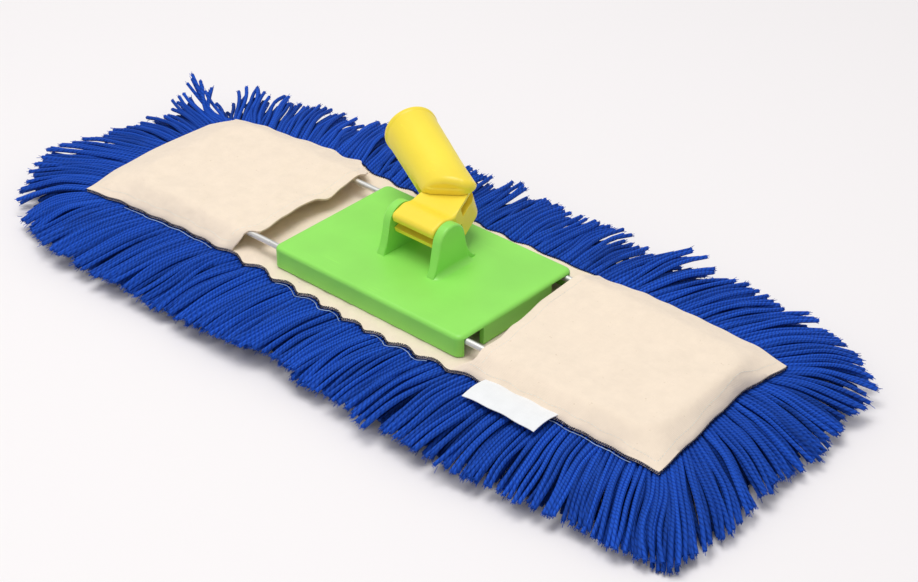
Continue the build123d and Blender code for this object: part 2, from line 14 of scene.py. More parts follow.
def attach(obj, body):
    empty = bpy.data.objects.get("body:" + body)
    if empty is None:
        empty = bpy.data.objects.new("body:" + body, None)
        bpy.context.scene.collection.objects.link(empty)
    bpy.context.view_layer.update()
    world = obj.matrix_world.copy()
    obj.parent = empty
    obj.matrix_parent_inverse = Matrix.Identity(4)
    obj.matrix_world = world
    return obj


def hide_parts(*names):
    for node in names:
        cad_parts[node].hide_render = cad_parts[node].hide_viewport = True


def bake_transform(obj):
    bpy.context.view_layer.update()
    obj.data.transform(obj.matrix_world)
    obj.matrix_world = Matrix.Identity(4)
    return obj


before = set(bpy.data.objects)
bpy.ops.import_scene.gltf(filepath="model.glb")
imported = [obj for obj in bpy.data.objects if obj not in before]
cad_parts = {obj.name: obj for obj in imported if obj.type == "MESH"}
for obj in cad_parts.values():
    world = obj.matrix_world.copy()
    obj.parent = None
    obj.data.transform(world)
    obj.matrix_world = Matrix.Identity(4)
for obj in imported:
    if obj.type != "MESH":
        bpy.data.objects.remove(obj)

LOG = logging.getLogger("mop")
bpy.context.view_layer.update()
MM = 0.001
SHARP_ANGLE = math.radians(50.0)
TONE_COUNT = 307
CUBIC = 4

Triple = tuple[float, float, float]
Colour = Triple
Knots = tuple[tuple[float, float], ...]
Place = Callable[[float, float], Vector]
Strand = list[Vector]
Piece = bpy.types.Object
Socket = bpy.types.NodeSocket
Feeds = dict[str, object]


class Side(Enum):
    """The two ends of the mop, seen with the socket lying to the back."""

    LEFT = "left"
    RIGHT = "right"

    @property
    def sign(self) -> float:
        """The direction of this end along X."""
        return -1.0 if self is Side.LEFT else 1.0

    @property
    def wing(self) -> str:
        """The CAD body that carries this end."""
        return f"{self.value}_wing"


class Carry(Enum):
    """How a piece of the cover follows the frame."""

    RIDES = "rides"
    BENDS = "bends"


@dataclass(frozen=True)
class Profile:
    """A line through (position, value) knots, eased from knot to knot."""

    knots: Knots

    def at(self, position: float) -> float:
        """Reads the line.

        Args:
            position: Where to read it; outside the knots it stays level.

        Returns:
            The value there.
        """
        if position <= self.knots[0][0]:
            return self.knots[0][1]
        for (start, low), (end, high) in zip(self.knots, self.knots[1:]):
            if position <= end:
                part = (position - start) / (end - start)
                return low + (high - low) * part * part * (3.0 - 2.0 * part)
        return self.knots[-1][1]


class Graph:
    """Adds and joins nodes in one shader tree."""

    def __init__(self, tree: bpy.types.NodeTree) -> None:
        """Keeps the tree that the nodes go into."""
        self.tree = tree

    def feed(self, socket: Socket, value: object) -> None:
        """Links a socket to another one, or sets its constant.

        Args:
            socket: The input.
            value: Another node's output, or a constant.
        """
        if isinstance(value, Socket):
            self.tree.links.new(value, socket)
        else:
            socket.default_value = value

    def join(self, node: bpy.types.Node, feeds: Feeds) -> None:
        """Feeds the named inputs of a node."""
        for key, value in feeds.items():
            self.feed(node.inputs[key], value)

    def add(self, kind: str, feeds: Feeds | None = None, **settings: object) -> bpy.types.Node:
        """Adds one node.

        Args:
            kind: The node's type without its ShaderNode prefix.
            feeds: Links or constants for its inputs, by name.
            **settings: Properties of the node.

        Returns:
            The new node.
        """
        node = self.tree.nodes.new("ShaderNode" + kind)
        for key, value in settings.items():
            setattr(node, key, value)
        self.join(node, feeds or {})
        return node

    def place(self) -> Socket:
        """The piece's own coordinates."""
        return self.add("TexCoord").outputs["Object"]

    def math(self, operation: str, *values: object) -> Socket:
        """Works out one value.

        Args:
            operation: What the node does.
            *values: Links or constants for its inputs, in order.

        Returns:
            The result.
        """
        node = self.add("Math", operation=operation)
        for socket, value in zip(node.inputs, values):
            self.feed(socket, value)
        return node.outputs[0]

    def times(self, first: object, second: object) -> Socket:
        """The product of two values."""
        return self.math("MULTIPLY", first, second)

    def plus(self, first: object, second: object) -> Socket:
        """The sum of two values."""
        return self.math("ADD", first, second)

    def span(self, value: object, low: float, high: float, bottom: float = 0.0, top: float = 1.0) -> Socket:
        """Maps a value from low..high onto bottom..top, clamped."""
        feeds = {"Value": value, "From Min": low, "From Max": high, "To Min": bottom, "To Max": top}
        return self.add("MapRange", feeds).outputs["Result"]

    def mix(self, share: object, first: object, second: object) -> Socket:
        """Mixes two colours.

        Args:
            share: How much of the second colour shows.
            first: The colour at share 0.
            second: The colour at share 1.

        Returns:
            The mixed colour.
        """
        node = self.add("Mix", data_type="RGBA")
        factor, first_colour, second_colour, mixed = 0, 6, 7, 2
        self.feed(node.inputs[factor], share)
        self.feed(node.inputs[first_colour], first)
        self.feed(node.inputs[second_colour], second)
        return node.outputs[mixed]

    def noise(self, vector: object, scale: float, detail: float = 2.0, rough: float = 0.5) -> Socket:
        """Adds a noise texture and gives its value."""
        feeds = {"Vector": vector, "Scale": scale, "Detail": detail, "Roughness": rough}
        return self.add("TexNoise", feeds).outputs[0]

    def stretch(self, vector: object, scale: Triple) -> Socket:
        """Scales a coordinate by axis."""
        return self.add("Mapping", {"Vector": vector, "Scale": scale}).outputs[0]

    def bump(self, height: object, depth: float, strength: float) -> Socket:
        """Turns a height into a normal; depth is in metres."""
        feeds = {"Height": height, "Distance": depth, "Strength": strength}
        return self.add("Bump", feeds).outputs[0]


class SharedGroup:
    """A shader node group that several materials use."""

    def __init__(self, name: str, takes: dict[str, str], gives: Sequence[str]) -> None:
        """Makes the group's sockets.

        Args:
            name: The group's name.
            takes: The kind of each input, Float or Vector, by name.
            gives: Output names, all values.
        """
        self.group = bpy.data.node_groups.new(name, "ShaderNodeTree")
        for label, kind in takes.items():
            self.group.interface.new_socket(name=label, in_out="INPUT", socket_type="NodeSocket" + kind)
        for label in gives:
            self.group.interface.new_socket(name=label, in_out="OUTPUT", socket_type="NodeSocketFloat")
        self.graph = Graph(self.group)
        self.inside = self.group.nodes.new("NodeGroupInput").outputs
        self.graph.join(self.group.nodes.new("NodeGroupOutput"), self.fill())

    def fill(self) -> dict[str, Socket]:
        """Adds the group's nodes and gives its outputs; each kind of group has its own."""
        raise NotImplementedError

    def use(self, graph: Graph, feeds: Feeds) -> bpy.types.bpy_prop_collection:
        """Puts the group into a material and gives its outputs."""
        return graph.add("Group", feeds, node_tree=self.group).outputs


class PlainWeave(SharedGroup):
    """Over-and-under threads of a plain weave, with slubs and flecks."""

    WARP_LAY = (60.0, 900.0, 60.0)
    WEFT_LAY = (900.0, 60.0, 60.0)
    SEED_SCALE = 520.0

    def __init__(self) -> None:
        """Makes the group."""
        takes = {"Vector": "Vector", "Threads": "Float"}
        super().__init__("plain_weave", takes, ("Height", "Slub", "Fleck"))

    def fill(self) -> dict[str, Socket]:
        """Builds the threads from two sine waves that take turns on top.

        Returns:
            The threads' relief, their thick places and the flecks.
        """
        graph, place = self.graph, self.inside["Vector"]
        axes = graph.add("SeparateXYZ", {"Vector": place}).outputs
        turns = graph.times(self.inside["Threads"], math.pi)
        warp = graph.math("SINE", graph.times(axes["X"], turns))
        weft = graph.math("SINE", graph.times(axes["Y"], turns))
        over = graph.math("MULTIPLY_ADD", graph.times(warp, weft), 0.5, 0.5)
        under = graph.math("SUBTRACT", 1.0, over)
        warp_top = graph.times(graph.math("ABSOLUTE", warp), over)
        weft_top = graph.times(graph.math("ABSOLUTE", weft), under)
        along = graph.noise(graph.stretch(place, self.WARP_LAY), scale=1.0)
        across = graph.noise(graph.stretch(place, self.WEFT_LAY), scale=1.0)
        seeds = graph.noise(place, self.SEED_SCALE, detail=1.0)
        return {
            "Height": graph.math("MAXIMUM", warp_top, weft_top),
            "Slub": graph.times(graph.plus(along, across), 0.5),
            "Fleck": graph.span(seeds, low=0.74, high=0.8),
        }


class MouldedGrain(SharedGroup):
    """Fine moulded grain, slow colour mottle and hairline scuffs of a plastic."""

    SCUFF_LAY = (40.0, 1400.0, 900.0)
    SCUFF_PATCHES = 38.0
    GRAIN_SCALE = 1600.0
    MOTTLE_SCALE = 24.0

    def __init__(self) -> None:
        """Makes the group."""
        super().__init__("moulded_grain", {"Vector": "Vector"}, ("Grain", "Mottle", "Scuff"))

    def fill(self) -> dict[str, Socket]:
        """Builds the three masks from noises at three scales.

        Returns:
            The grain, the mottle and the scuffs.
        """
        graph, place = self.graph, self.inside["Vector"]
        lines = graph.noise(graph.stretch(place, self.SCUFF_LAY), scale=1.0)
        patches = graph.span(graph.noise(place, self.SCUFF_PATCHES), low=0.5, high=0.66)
        return {
            "Grain": graph.noise(place, self.GRAIN_SCALE, detail=3.0, rough=0.6),
            "Mottle": graph.noise(place, self.MOTTLE_SCALE, detail=3.0),
            "Scuff": graph.times(graph.span(lines, low=0.64, high=0.72), patches),
        }


class YarnTwist(SharedGroup):
    """Two plies laid round each other, with loose fibres along them."""

    FIBRES_ROUND = 9.0
    FIBRE_LAY = (1.0, 14.0, 40.0)
    PLY_ROUNDNESS = 0.8
    LEAST_TWIST = 0.7
    TWIST_SPREAD = 0.5

    def __init__(self) -> None:
        """Makes the group."""
        takes = {"Vector": "Vector", "Turns": "Float", "Shift": "Float"}
        super().__init__("yarn_twist", takes, ("Height", "Fibre"))

    def fill(self) -> dict[str, Socket]:
        """Builds the plies from the angle round the strand and the way along it.

        Returns:
            The plies' relief and the fibres.
        """
        graph, shift = self.graph, self.inside["Shift"]
        axes = graph.add("SeparateXYZ", {"Vector": self.inside["Vector"]}).outputs
        tight = graph.math("MULTIPLY_ADD", shift, self.TWIST_SPREAD, self.LEAST_TWIST)
        way = graph.times(axes["X"], graph.times(self.inside["Turns"], tight))
        angle = graph.plus(graph.plus(way, axes["Y"]), shift)
        wave = graph.math("ABSOLUTE", graph.math("COSINE", graph.times(angle, math.tau)))
        round_it = graph.times(angle, self.FIBRES_ROUND)
        lay = graph.add("CombineXYZ", {"X": round_it, "Y": axes["X"], "Z": shift}).outputs[0]
        return {
            "Height": graph.math("POWER", wave, self.PLY_ROUNDNESS),
            "Fibre": graph.noise(graph.stretch(lay, self.FIBRE_LAY), scale=1.0, detail=3.0, rough=0.6),
        }


GROUPS: dict[type[SharedGroup], SharedGroup] = {}


def shared(kind: type[SharedGroup]) -> SharedGroup:
    """Gives the one group of a kind, made on first use.

    Args:
        kind: The group's class.

    Returns:
        The group.
    """
    if kind not in GROUPS:
        GROUPS[kind] = kind()
    return GROUPS[kind]


@dataclass(frozen=True)
class Finish:
    """One surface finish, made into a material on first use."""

    name: str
    colour: Colour
    roughness: float = 0.5

    def material(self) -> bpy.types.Material:
        """Gives the finish's material.

        Returns:
            The material, built the first time and shared after that.
        """
        made = bpy.data.materials.get(self.name)
        if made is None:
            made = bpy.data.materials.new(self.name)
            made.use_nodes = True
            made.node_tree.nodes.clear()
            graph = Graph(made.node_tree)
            shader = graph.add("BsdfPrincipled", {"Roughness": self.roughness})
            graph.add("OutputMaterial", {"Surface": shader.outputs[0]})
            graph.join(shader, self.dress(graph))
        return made

    def dress(self, graph: Graph) -> Feeds:
        """Adds what this kind of surface shows; each kind has its own."""
        raise NotImplementedError

    def tint(self, gain: float) -> tuple[float, float, float, float]:
        """The finish's colour, lighter or darker."""
        return (*(min(1.0, part * gain) for part in self.colour), 1.0)


@dataclass(frozen=True)
class Plastic(Finish):
    """Satin moulded plastic."""

    grain_depth: float = 0.00004
    glow: float = 0.06
    glow_reach: Triple = (0.0012, 0.0014, 0.0006)
    deep: float = 0.94
    light: float = 1.04
    scuffed: float = 1.5
    scuff_share: float = 0.3
    scuff_rough: float = 0.2

    def dress(self, graph: Graph) -> Feeds:
        """Adds mottle, hairline scuffs and a fine grain.

        Args:
            graph: The material's nodes.

        Returns:
            What the surface shader takes, by input.
        """
        masks = shared(MouldedGrain).use(graph, {"Vector": graph.place()})
        mottle = graph.span(masks["Mottle"], low=0.3, high=0.7)
        body = graph.mix(mottle, self.tint(self.deep), self.tint(self.light))
        wear = graph.plus(graph.span(mottle, 0.0, 1.0, bottom=-0.05, top=0.07), self.roughness)
        scuffs = graph.times(masks["Scuff"], self.scuff_share)
        return {
            "Base Color": graph.mix(scuffs, body, self.tint(self.scuffed)),
            "Roughness": graph.plus(wear, graph.times(masks["Scuff"], self.scuff_rough)),
            "Normal": graph.bump(masks["Grain"], self.grain_depth, strength=0.5),
            "Specular IOR Level": 0.42,
            "Subsurface Weight": self.glow,
            "Subsurface Radius": self.glow_reach,
        }


@dataclass(frozen=True)
class Metal(Finish):
    """Drawn and plated metal."""

    draw: Triple = (30.0, 1500.0, 1500.0)
    line_depth: float = 0.00003
    patch_scale: float = 70.0
    pit_scale: float = 900.0
    dull: float = 0.86
    pitted: float = 0.6
    dull_rough: float = 0.14
    line_rough: float = 0.08

    def dress(self, graph: Graph) -> Feeds:
        """Adds drawing lines, dull patches and small pits.

        Args:
            graph: The material's nodes.

        Returns:
            What the surface shader takes, by input.
        """
        place = graph.place()
        lines = graph.noise(graph.stretch(place, self.draw), scale=1.0)
        patches = graph.span(graph.noise(place, self.patch_scale, detail=3.0), low=0.35, high=0.7)
        pits = graph.span(graph.noise(place, self.pit_scale, detail=1.0), low=0.7, high=0.78)
        bright = graph.mix(patches, self.tint(1.0), self.tint(self.dull))
        rough = graph.plus(graph.times(patches, self.dull_rough), self.roughness)
        return {
            "Base Color": graph.mix(pits, bright, self.tint(self.pitted)),
            "Roughness": graph.plus(rough, graph.times(lines, self.line_rough)),
            "Normal": graph.bump(lines, self.line_depth, strength=0.4),
            "Metallic": 1.0,
        }


@dataclass(frozen=True)
class Canvas(Finish):
    """Unbleached plain-woven cotton."""

    threads: float = 1700.0
    weave_depth: float = 0.00014
    fleck: Colour = (0.42, 0.3, 0.16)
    crease: float = 30.0
    crease_scale: float = 38.0
    shade_scale: float = 16.0
    mottle_scale: float = 130.0
    tints: Triple = (0.92, 0.97, 1.03)
    # Painted shade: the share of colour left in the weave's low places between threads.
    groove_shade: float = 0.88
    slub: float = 0.9
    slub_relief: float = 0.6
    fleck_share: float = 0.3

    def dress(self, graph: Graph) -> Feeds:
        """Adds the weave with painted shade in its low places, slubs, seed flecks and a slow change of
        shade.

        Args:
            graph: The material's nodes.

        Returns:
            What the surface shader takes, by input.
        """
        place = graph.place()
        cloth = shared(PlainWeave).use(graph, {"Vector": place, "Threads": self.threads})
        slow = graph.span(graph.noise(place, self.shade_scale, detail=3.0), low=0.3, high=0.7)
        blots = graph.noise(place, self.mottle_scale, detail=4.0, rough=0.6)
        mottle = graph.span(blots, low=0.32, high=0.68)
        deep, middle, light = map(self.tint, self.tints)
        body = graph.mix(mottle, graph.mix(slow, deep, middle), light)
        # Painted shade: the weave's low places are mixed towards a darker tint.
        threads = graph.mix(graph.span(cloth["Height"], low=0.0, high=0.8), self.tint(self.groove_shade), body)
        thick = graph.span(cloth["Slub"], low=0.52, high=0.68, top=0.35)
        slubs = graph.mix(thick, threads, self.tint(self.slub))
        relief = graph.plus(cloth["Height"], graph.times(cloth["Slub"], self.slub_relief))
        creases = graph.times(graph.noise(place, self.crease_scale, detail=3.0), self.crease)
        flecks = graph.times(cloth["Fleck"], self.fleck_share)
        return {
            "Base Color": graph.mix(flecks, slubs, (*self.fleck, 1.0)),
            "Normal": graph.bump(graph.plus(relief, creases), self.weave_depth, strength=0.6),
            "Roughness": graph.span(slow, 0.0, 1.0, self.roughness - 0.05, self.roughness + 0.05),
            "Sheen Weight": 0.15,
            "Sheen Roughness": 0.6,
            "Specular IOR Level": 0.15,
        }


@dataclass(frozen=True)
class Yarn(Finish):
    """Twisted two-ply yarn; it reads the strand's own UV and tone."""

    turns: float = 11.0
    twist_depth: float = 0.0004
    # Painted shade: the share of colour left in the grooves between the plies.
    groove_shade: float = 0.6
    deep: float = 0.2
    light: float = 1.3
    # Painted highlight: how much lighter the loose fibres are coloured, as fuzz catching light.
    fibre: float = 1.5
    fibre_relief: float = 0.35

    def dress(self, graph: Graph) -> Feeds:
        """Adds the plies with painted shade in their grooves, loose fibres with a painted highlight, and a
        tone for each strand.

        Args:
            graph: The material's nodes.

        Returns:
            What the surface shader takes, by input.
        """
        way = graph.add("UVMap", uv_map="UVMap").outputs[0]
        tone = graph.add("Attribute", attribute_name="tone").outputs["Fac"]
        twist = shared(YarnTwist).use(graph, {"Vector": way, "Turns": self.turns, "Shift": tone})
        # The tone runs from the deep tint to the light one; in the fringe the lower layers' low tones are
        # painted shade, elsewhere the tone differs at random.
        body = graph.mix(tone, self.tint(self.deep), self.tint(self.light))
        # Painted shade: the ply grooves are mixed towards this darker copy of the strand's colour.
        shade = graph.mix(tone, self.tint(self.deep * self.groove_shade), self.tint(self.light * self.groove_shade))
        plies_with_groove_shade = graph.mix(graph.span(twist["Height"], low=0.1, high=0.95), shade, body)
        # Painted highlight: where loose fibres lie, the colour is mixed towards a lighter tint.
        loose = graph.span(twist["Fibre"], low=0.5, high=0.75, top=0.4)
        relief = graph.plus(twist["Height"], graph.times(twist["Fibre"], self.fibre_relief))
        return {
            "Base Color": graph.mix(loose, plies_with_groove_shade, self.tint(self.fibre)),
            "Normal": graph.bump(relief, self.twist_depth, strength=0.8),
            "Roughness": graph.span(twist["Fibre"], 0.2, 0.8, self.roughness - 0.1, self.roughness + 0.1),
            "Sheen Weight": 0.12,
            "Sheen Roughness": 0.4,
            "Sheen Tint": self.tint(self.fibre),
            "Specular IOR Level": 0.12,
        }


@dataclass(frozen=True)
class Floor(Finish):
    """The studio's plain pale floor."""

    def dress(self, graph: Graph) -> Feeds:
        """Adds a barely seen change of shade."""
        slow = graph.noise(graph.place(), scale=1.5, detail=1.0)
        return {"Base Color": graph.mix(slow, self.tint(0.99), self.tint(1.01)), "Specular IOR Level": 0.1}


class Finishes:
    """The finishes of the mop."""

    GREEN = Plastic("green_plastic_satin", (0.295, 0.785, 0.12), 0.36)
    YELLOW = Plastic("yellow_plastic_satin", (1.0, 0.77, 0.06), 0.38)
    WIRE = Metal("plated_wire", (0.88, 0.87, 0.84), 0.4)
    RIVET = Metal("plain_steel", (0.68, 0.68, 0.69), 0.28, draw=(400.0, 400.0, 400.0))
    CANVAS = Canvas("cotton_canvas", (0.97, 0.82, 0.66), 0.85)
    LABEL = Canvas(
        "label_tape", (0.93, 0.94, 0.95), 0.6, threads=3000.0, weave_depth=0.00008, fleck=(0.8, 0.8, 0.8),
    )
    YARN = Yarn("acrylic_yarn", (0.0125, 0.076, 0.47), 0.8)
    PILE = Yarn("acrylic_yarn_loops", (0.011, 0.075, 0.46), 0.8, turns=13.0)
    FRAY = Yarn("acrylic_fibres", (0.013, 0.085, 0.5), 0.85, turns=1.0, twist_depth=0.0001, groove_shade=0.8)
    OVERLOCK = Yarn("overlock_thread", (0.006, 0.014, 0.07), 0.6, turns=30.0, twist_depth=0.0001, groove_shade=0.7)
    CHAIN = Yarn("pale_thread", (0.42, 0.56, 0.85), 0.6, turns=20.0, twist_depth=0.0001, groove_shade=0.7)
    THREAD = Yarn("sewing_thread", (0.98, 0.86, 0.72), 0.6, turns=4.0, twist_depth=0.0001, groove_shade=0.95)
    FLOOR = Floor("pale_floor", (0.91, 0.88, 0.885), 0.8)


def finished(name: str, mesh: bpy.types.Mesh, finish: Finish) -> Piece:
    """Makes a mesh into an object of the scene.

    Args:
        name: The piece's name.
        mesh: The finished mesh, in metres and in place.
        finish: What it is made of.

    Returns:
        The object, smooth with sharp edges kept.
    """
    mesh.name = name
    mesh.materials.clear()
    mesh.materials.append(finish.material())
    mesh.shade_smooth()
    mesh.set_sharp_from_angle(angle=SHARP_ANGLE)
    made = bpy.data.objects.new(name, mesh)
    bpy.context.scene.collection.objects.link(made)
    LOG.info("built %s: %d faces", name, len(mesh.polygons))
    return made


def settled(name: str, bm: bmesh.types.BMesh) -> bpy.types.Mesh:
    """Writes a bmesh into a new mesh and frees it.

    Args:
        name: The mesh's name.
        bm: The finished bmesh.

    Returns:
        The mesh.
    """
    mesh = bpy.data.meshes.new(name)
    bm.to_mesh(mesh)
    bm.free()
    return mesh


def meshed(curve: bpy.types.Curve) -> bpy.types.Mesh:
    """Makes a curve into a mesh and removes the curve.

    Args:
        curve: The finished curve.

    Returns:
        The mesh.
    """
    lines = bpy.data.objects.new(curve.name + "_lines", curve)
    mesh = bpy.data.meshes.new_from_object(lines)
    bpy.data.objects.remove(lines)
    bpy.data.curves.remove(curve)
    return mesh


def woven(
    name: str, columns: Sequence[float], rows: Sequence[float], place: Place, thick: float, finish: Finish,
) -> Piece:
    """Makes one piece of cloth from a grid.

    Args:
        name: The piece's name.
        columns: Stations along the cloth.
        rows: Stations across the cloth.
        place: Gives the point of the cloth's upper face at a station, in millimetres.
        thick: The cloth's thickness in millimetres.
        finish: What it is made of.

    Returns:
        The cloth, closed round its edge.
    """
    bm = bmesh.new()
    wide, long = len(columns) - 1, len(rows) - 1
    bmesh.ops.create_grid(bm, x_segments=wide, y_segments=long, size=0.5)
    for vert in bm.verts:
        column = round((vert.co.x + 0.5) * wide)
        row = round((vert.co.y + 0.5) * long)
        vert.co = place(columns[column], rows[row]) * MM
    bmesh.ops.solidify(bm, geom=bm.faces[:], thickness=thick * MM)
    bmesh.ops.recalc_face_normals(bm, faces=bm.faces[:])
    return finished(name, settled(name, bm), finish)


def spun(
    name: str, paths: Sequence[Strand], radius: float, finish: Finish, tones: Sequence[float],
    sides: int = 6, tip: float = 1.0,
) -> Piece:
    """Makes many strands of yarn or thread into one piece.

    Args:
        name: The piece's name.
        paths: The control points of each strand, in millimetres, the same number for each.
        radius: The strand's radius in millimetres.
        finish: What it is made of.
        tones: The tone of each strand, 0 for deep and 1 for bright; they are used in turn.
        sides: Faces round a strand, 4 or 6.
        tip: The share of the radius that is left at the strand's end.

    Returns:
        The strands, each a closed smooth tube with a UV along it and a tone of its own.
    """
    curve = bpy.data.curves.new(name, "CURVE")
    curve.dimensions = "3D"
    curve.bevel_depth = radius * MM
    curve.bevel_resolution = (sides - 4) // 2
    curve.resolution_u = 2
    for path in paths:
        spline = curve.splines.new("NURBS")
        spline.points.add(len(path) - 1)
        for point, spot in zip(spline.points, path):
            point.co = (*(spot * MM), 1.0)
        spline.points[-1].radius = tip
        spline.order_u = min(CUBIC, len(path))
        spline.use_endpoint_u = True
    mesh = meshed(curve)
    each = len(mesh.vertices) // len(paths)
    values = [tones[index // each % len(tones)] for index in range(len(mesh.vertices))]
    mesh.attributes.new("tone", "FLOAT", "POINT").data.foreach_set("value", values)
    bm = bmesh.new()
    bm.from_mesh(mesh)
    ends = [edge for edge in bm.edges if edge.is_boundary]
    bmesh.ops.holes_fill(bm, edges=ends, sides=sides)
    bmesh.ops.recalc_face_normals(bm, faces=bm.faces[:])
    bm.to_mesh(mesh)
    bm.free()
    return finished(name, mesh, finish)


def shades(seed: int, low: float, high: float) -> list[float]:
    """Many chance tones between low and high."""
    draw = random.Random(seed)
    return [draw.uniform(low, high) for _ in range(TONE_COUNT)]


def spaced(start: float, end: float, count: int) -> list[float]:
    """Even stations from start to end."""
    return [start + (end - start) * step / (count - 1) for step in range(count)]


@dataclass(frozen=True)
class Outline:
    """The sewn edge of the canvas: where it runs and how high, in millimetres.

    The near and far edges are read by X; the two ends by the share of the way from near to far.
    """

    near: Profile = Profile((
        (-234, -64), (-189, -60.8), (-146, -58.2), (-112, -58.6), (-94, -57), (-45, -58.5), (18, -61),
        (60, -59.5), (155, -59.2), (222, -58.5),
    ))
    far: Profile = Profile(((-236, 63), (-200, 68), (-60, 68.5), (100, 69), (190, 69), (222, 66)))
    left: Profile = Profile(((0, -231.5), (0.25, -236), (0.5, -238), (0.85, -236.5), (1, -229)))
    right: Profile = Profile((
        (0, 221), (0.25, 217.5), (0.5, 213.5), (0.72, 210.5), (0.86, 212.5), (1, 215),
    ))
    near_z: Profile = Profile((
        (-234, 22.5), (-195, 24.2), (-112, 25), (-94, 23.2), (0, 22.5), (70, 22.8), (92, 25.6),
        (160, 26.2), (222, 25),
    ))
    far_z: Profile = Profile((
        (-236, 22.5), (-190, 24.5), (-150, 28.2), (-120, 28), (-92, 25.3), (0, 23.5), (85, 24.4),
        (115, 27.2), (150, 27.2), (190, 26), (222, 23.5),
    ))
    left_z: Profile = Profile(((0, 22.5), (0.3, 23.2), (0.7, 23.2), (1, 22.5)))
    right_z: Profile = Profile(((0, 25), (0.5, 24.5), (1, 23.5)))
    loose: Profile = Profile(((-236, 0.5), (-118, 0.7), (-100, 2.3), (60, 2.0), (84, 0.8), (222, 0.4)))
    width: float = 127.0
    scallop: float = 21.0
    drift: float = 27.0
    sway: float = 1.4
    far_share: float = 0.6
    far_shift: float = 40.0
    rise_share: float = 0.45
    rise_shift: float = 6.0

    def ripple(self, x: float) -> float:
        """The scallops of the edge, more where no pocket is sewn to it."""
        swing = self.sway * math.sin(x / self.drift)
        return self.loose.at(x) * math.sin(math.tau * x / self.scallop + swing)

    def near_y(self, x: float) -> float:
        """The near edge at x."""
        return self.near.at(x) + self.ripple(x)

    def far_y(self, x: float) -> float:
        """The far edge at x."""
        return self.far.at(x) + self.far_share * self.ripple(x + self.far_shift)

    def end_x(self, side: Side, share: float) -> float:
        """The end edge at a share of the way across."""
        return (self.left if side is Side.LEFT else self.right).at(share)

    def spot(self, x: float, share: float) -> Vector:
        """A point of the flat cloth inside the edge, without height."""
        near, far = self.near_y(x), self.far_y(x)
        return Vector((x, near + (far - near) * share, 0.0))

    def rim(self, x: float, y: float) -> tuple[float, float]:
        """Finds the nearest sewn edge.

        Args:
            x: Place along the mop.
            y: Place across it.

        Returns:
            The distance to the edge and the edge's height, blended between edges near a corner.
        """
        near, far = self.near_y(x), self.far_y(x)
        share = min(1.0, max(0.0, (y - near) / (far - near)))
        side = Side.LEFT if x < 0.0 else Side.RIGHT
        end = self.end_x(side, share)
        end_z = (self.left_z if side is Side.LEFT else self.right_z).at(share)
        ways = (max(0.0, y - near), max(0.0, far - y), max(0.0, (end - x) * side.sign))
        near_z = self.near_z.at(x) + self.rise_share * self.ripple(x + self.rise_shift)
        heights = (near_z, self.far_z.at(x), end_z)
        weights = [1.0 / (way + 1.0) ** 2 for way in ways]
        level = sum(weight * height for weight, height in zip(weights, heights)) / sum(weights)
        return min(ways), level

    def seam_z(self, x: float) -> float:
        """The height of the near edge at x."""
        return self.rim(x, self.near_y(x))[1]

    def walk(self, step: float = 1.0) -> list[Vector]:
        """Follows the edge once round, from the near left corner along the near side.

        Args:
            step: Spacing of the points in millimetres.

        Returns:
            The points in order, at the edge's height.
        """
        left, right = self.left.at(0.0), self.right.at(0.0)
        flat = [self.spot(x, 0.0) for x in spaced(left, right, int((right - left) / step))]
        shares = spaced(0.0, 1.0, int(self.width / step))
        flat += [self.spot(self.right.at(share), share) for share in shares[1:]]
        left, right = self.left.at(1.0), self.right.at(1.0)
        flat += [self.spot(x, 1.0) for x in spaced(right, left, int((right - left) / step))[1:]]
        flat += [self.spot(self.left.at(share), share) for share in shares[-2:0:-1]]
        return [Vector((point.x, point.y, self.rim(point.x, point.y)[1])) for point in flat]


@dataclass
class CoverPart:
    """A piece of the cover, with the end of the mop that it belongs to.

    Two places along X, in metres from the middle, are given for where a piece would bend; nothing here reads
    them.
    """

    outline: Outline
    side: Side

    BEND_FROM = 0.028
    BEND_TO = 0.078

    def carry(self, piece: Piece, how: Carry, slot: str, *nodes: str) -> Piece:
        """Ties a riding piece to its wing and bakes a bending piece's transform into its mesh.

        Args:
            piece: The finished piece.
            how: Whether it rides on the wing, or bends, in which case only its transform is baked into its
                mesh.
            slot: The record's material slot; not used.
            *nodes: CAD nodes that it stands for.

        Returns:
            The same piece.
        """
        if how is Carry.BENDS:
            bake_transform(piece)
        else:
            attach(piece, self.side.wing)
        if nodes:
            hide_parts(*nodes)
        return piece

    def half_nodes(self, stem: str) -> tuple[str, ...]:
        """The CAD nodes of this half; the left one takes the centre too."""
        return (f"{stem}_left", f"{stem}_centre") if self.side is Side.LEFT else (f"{stem}_right",)


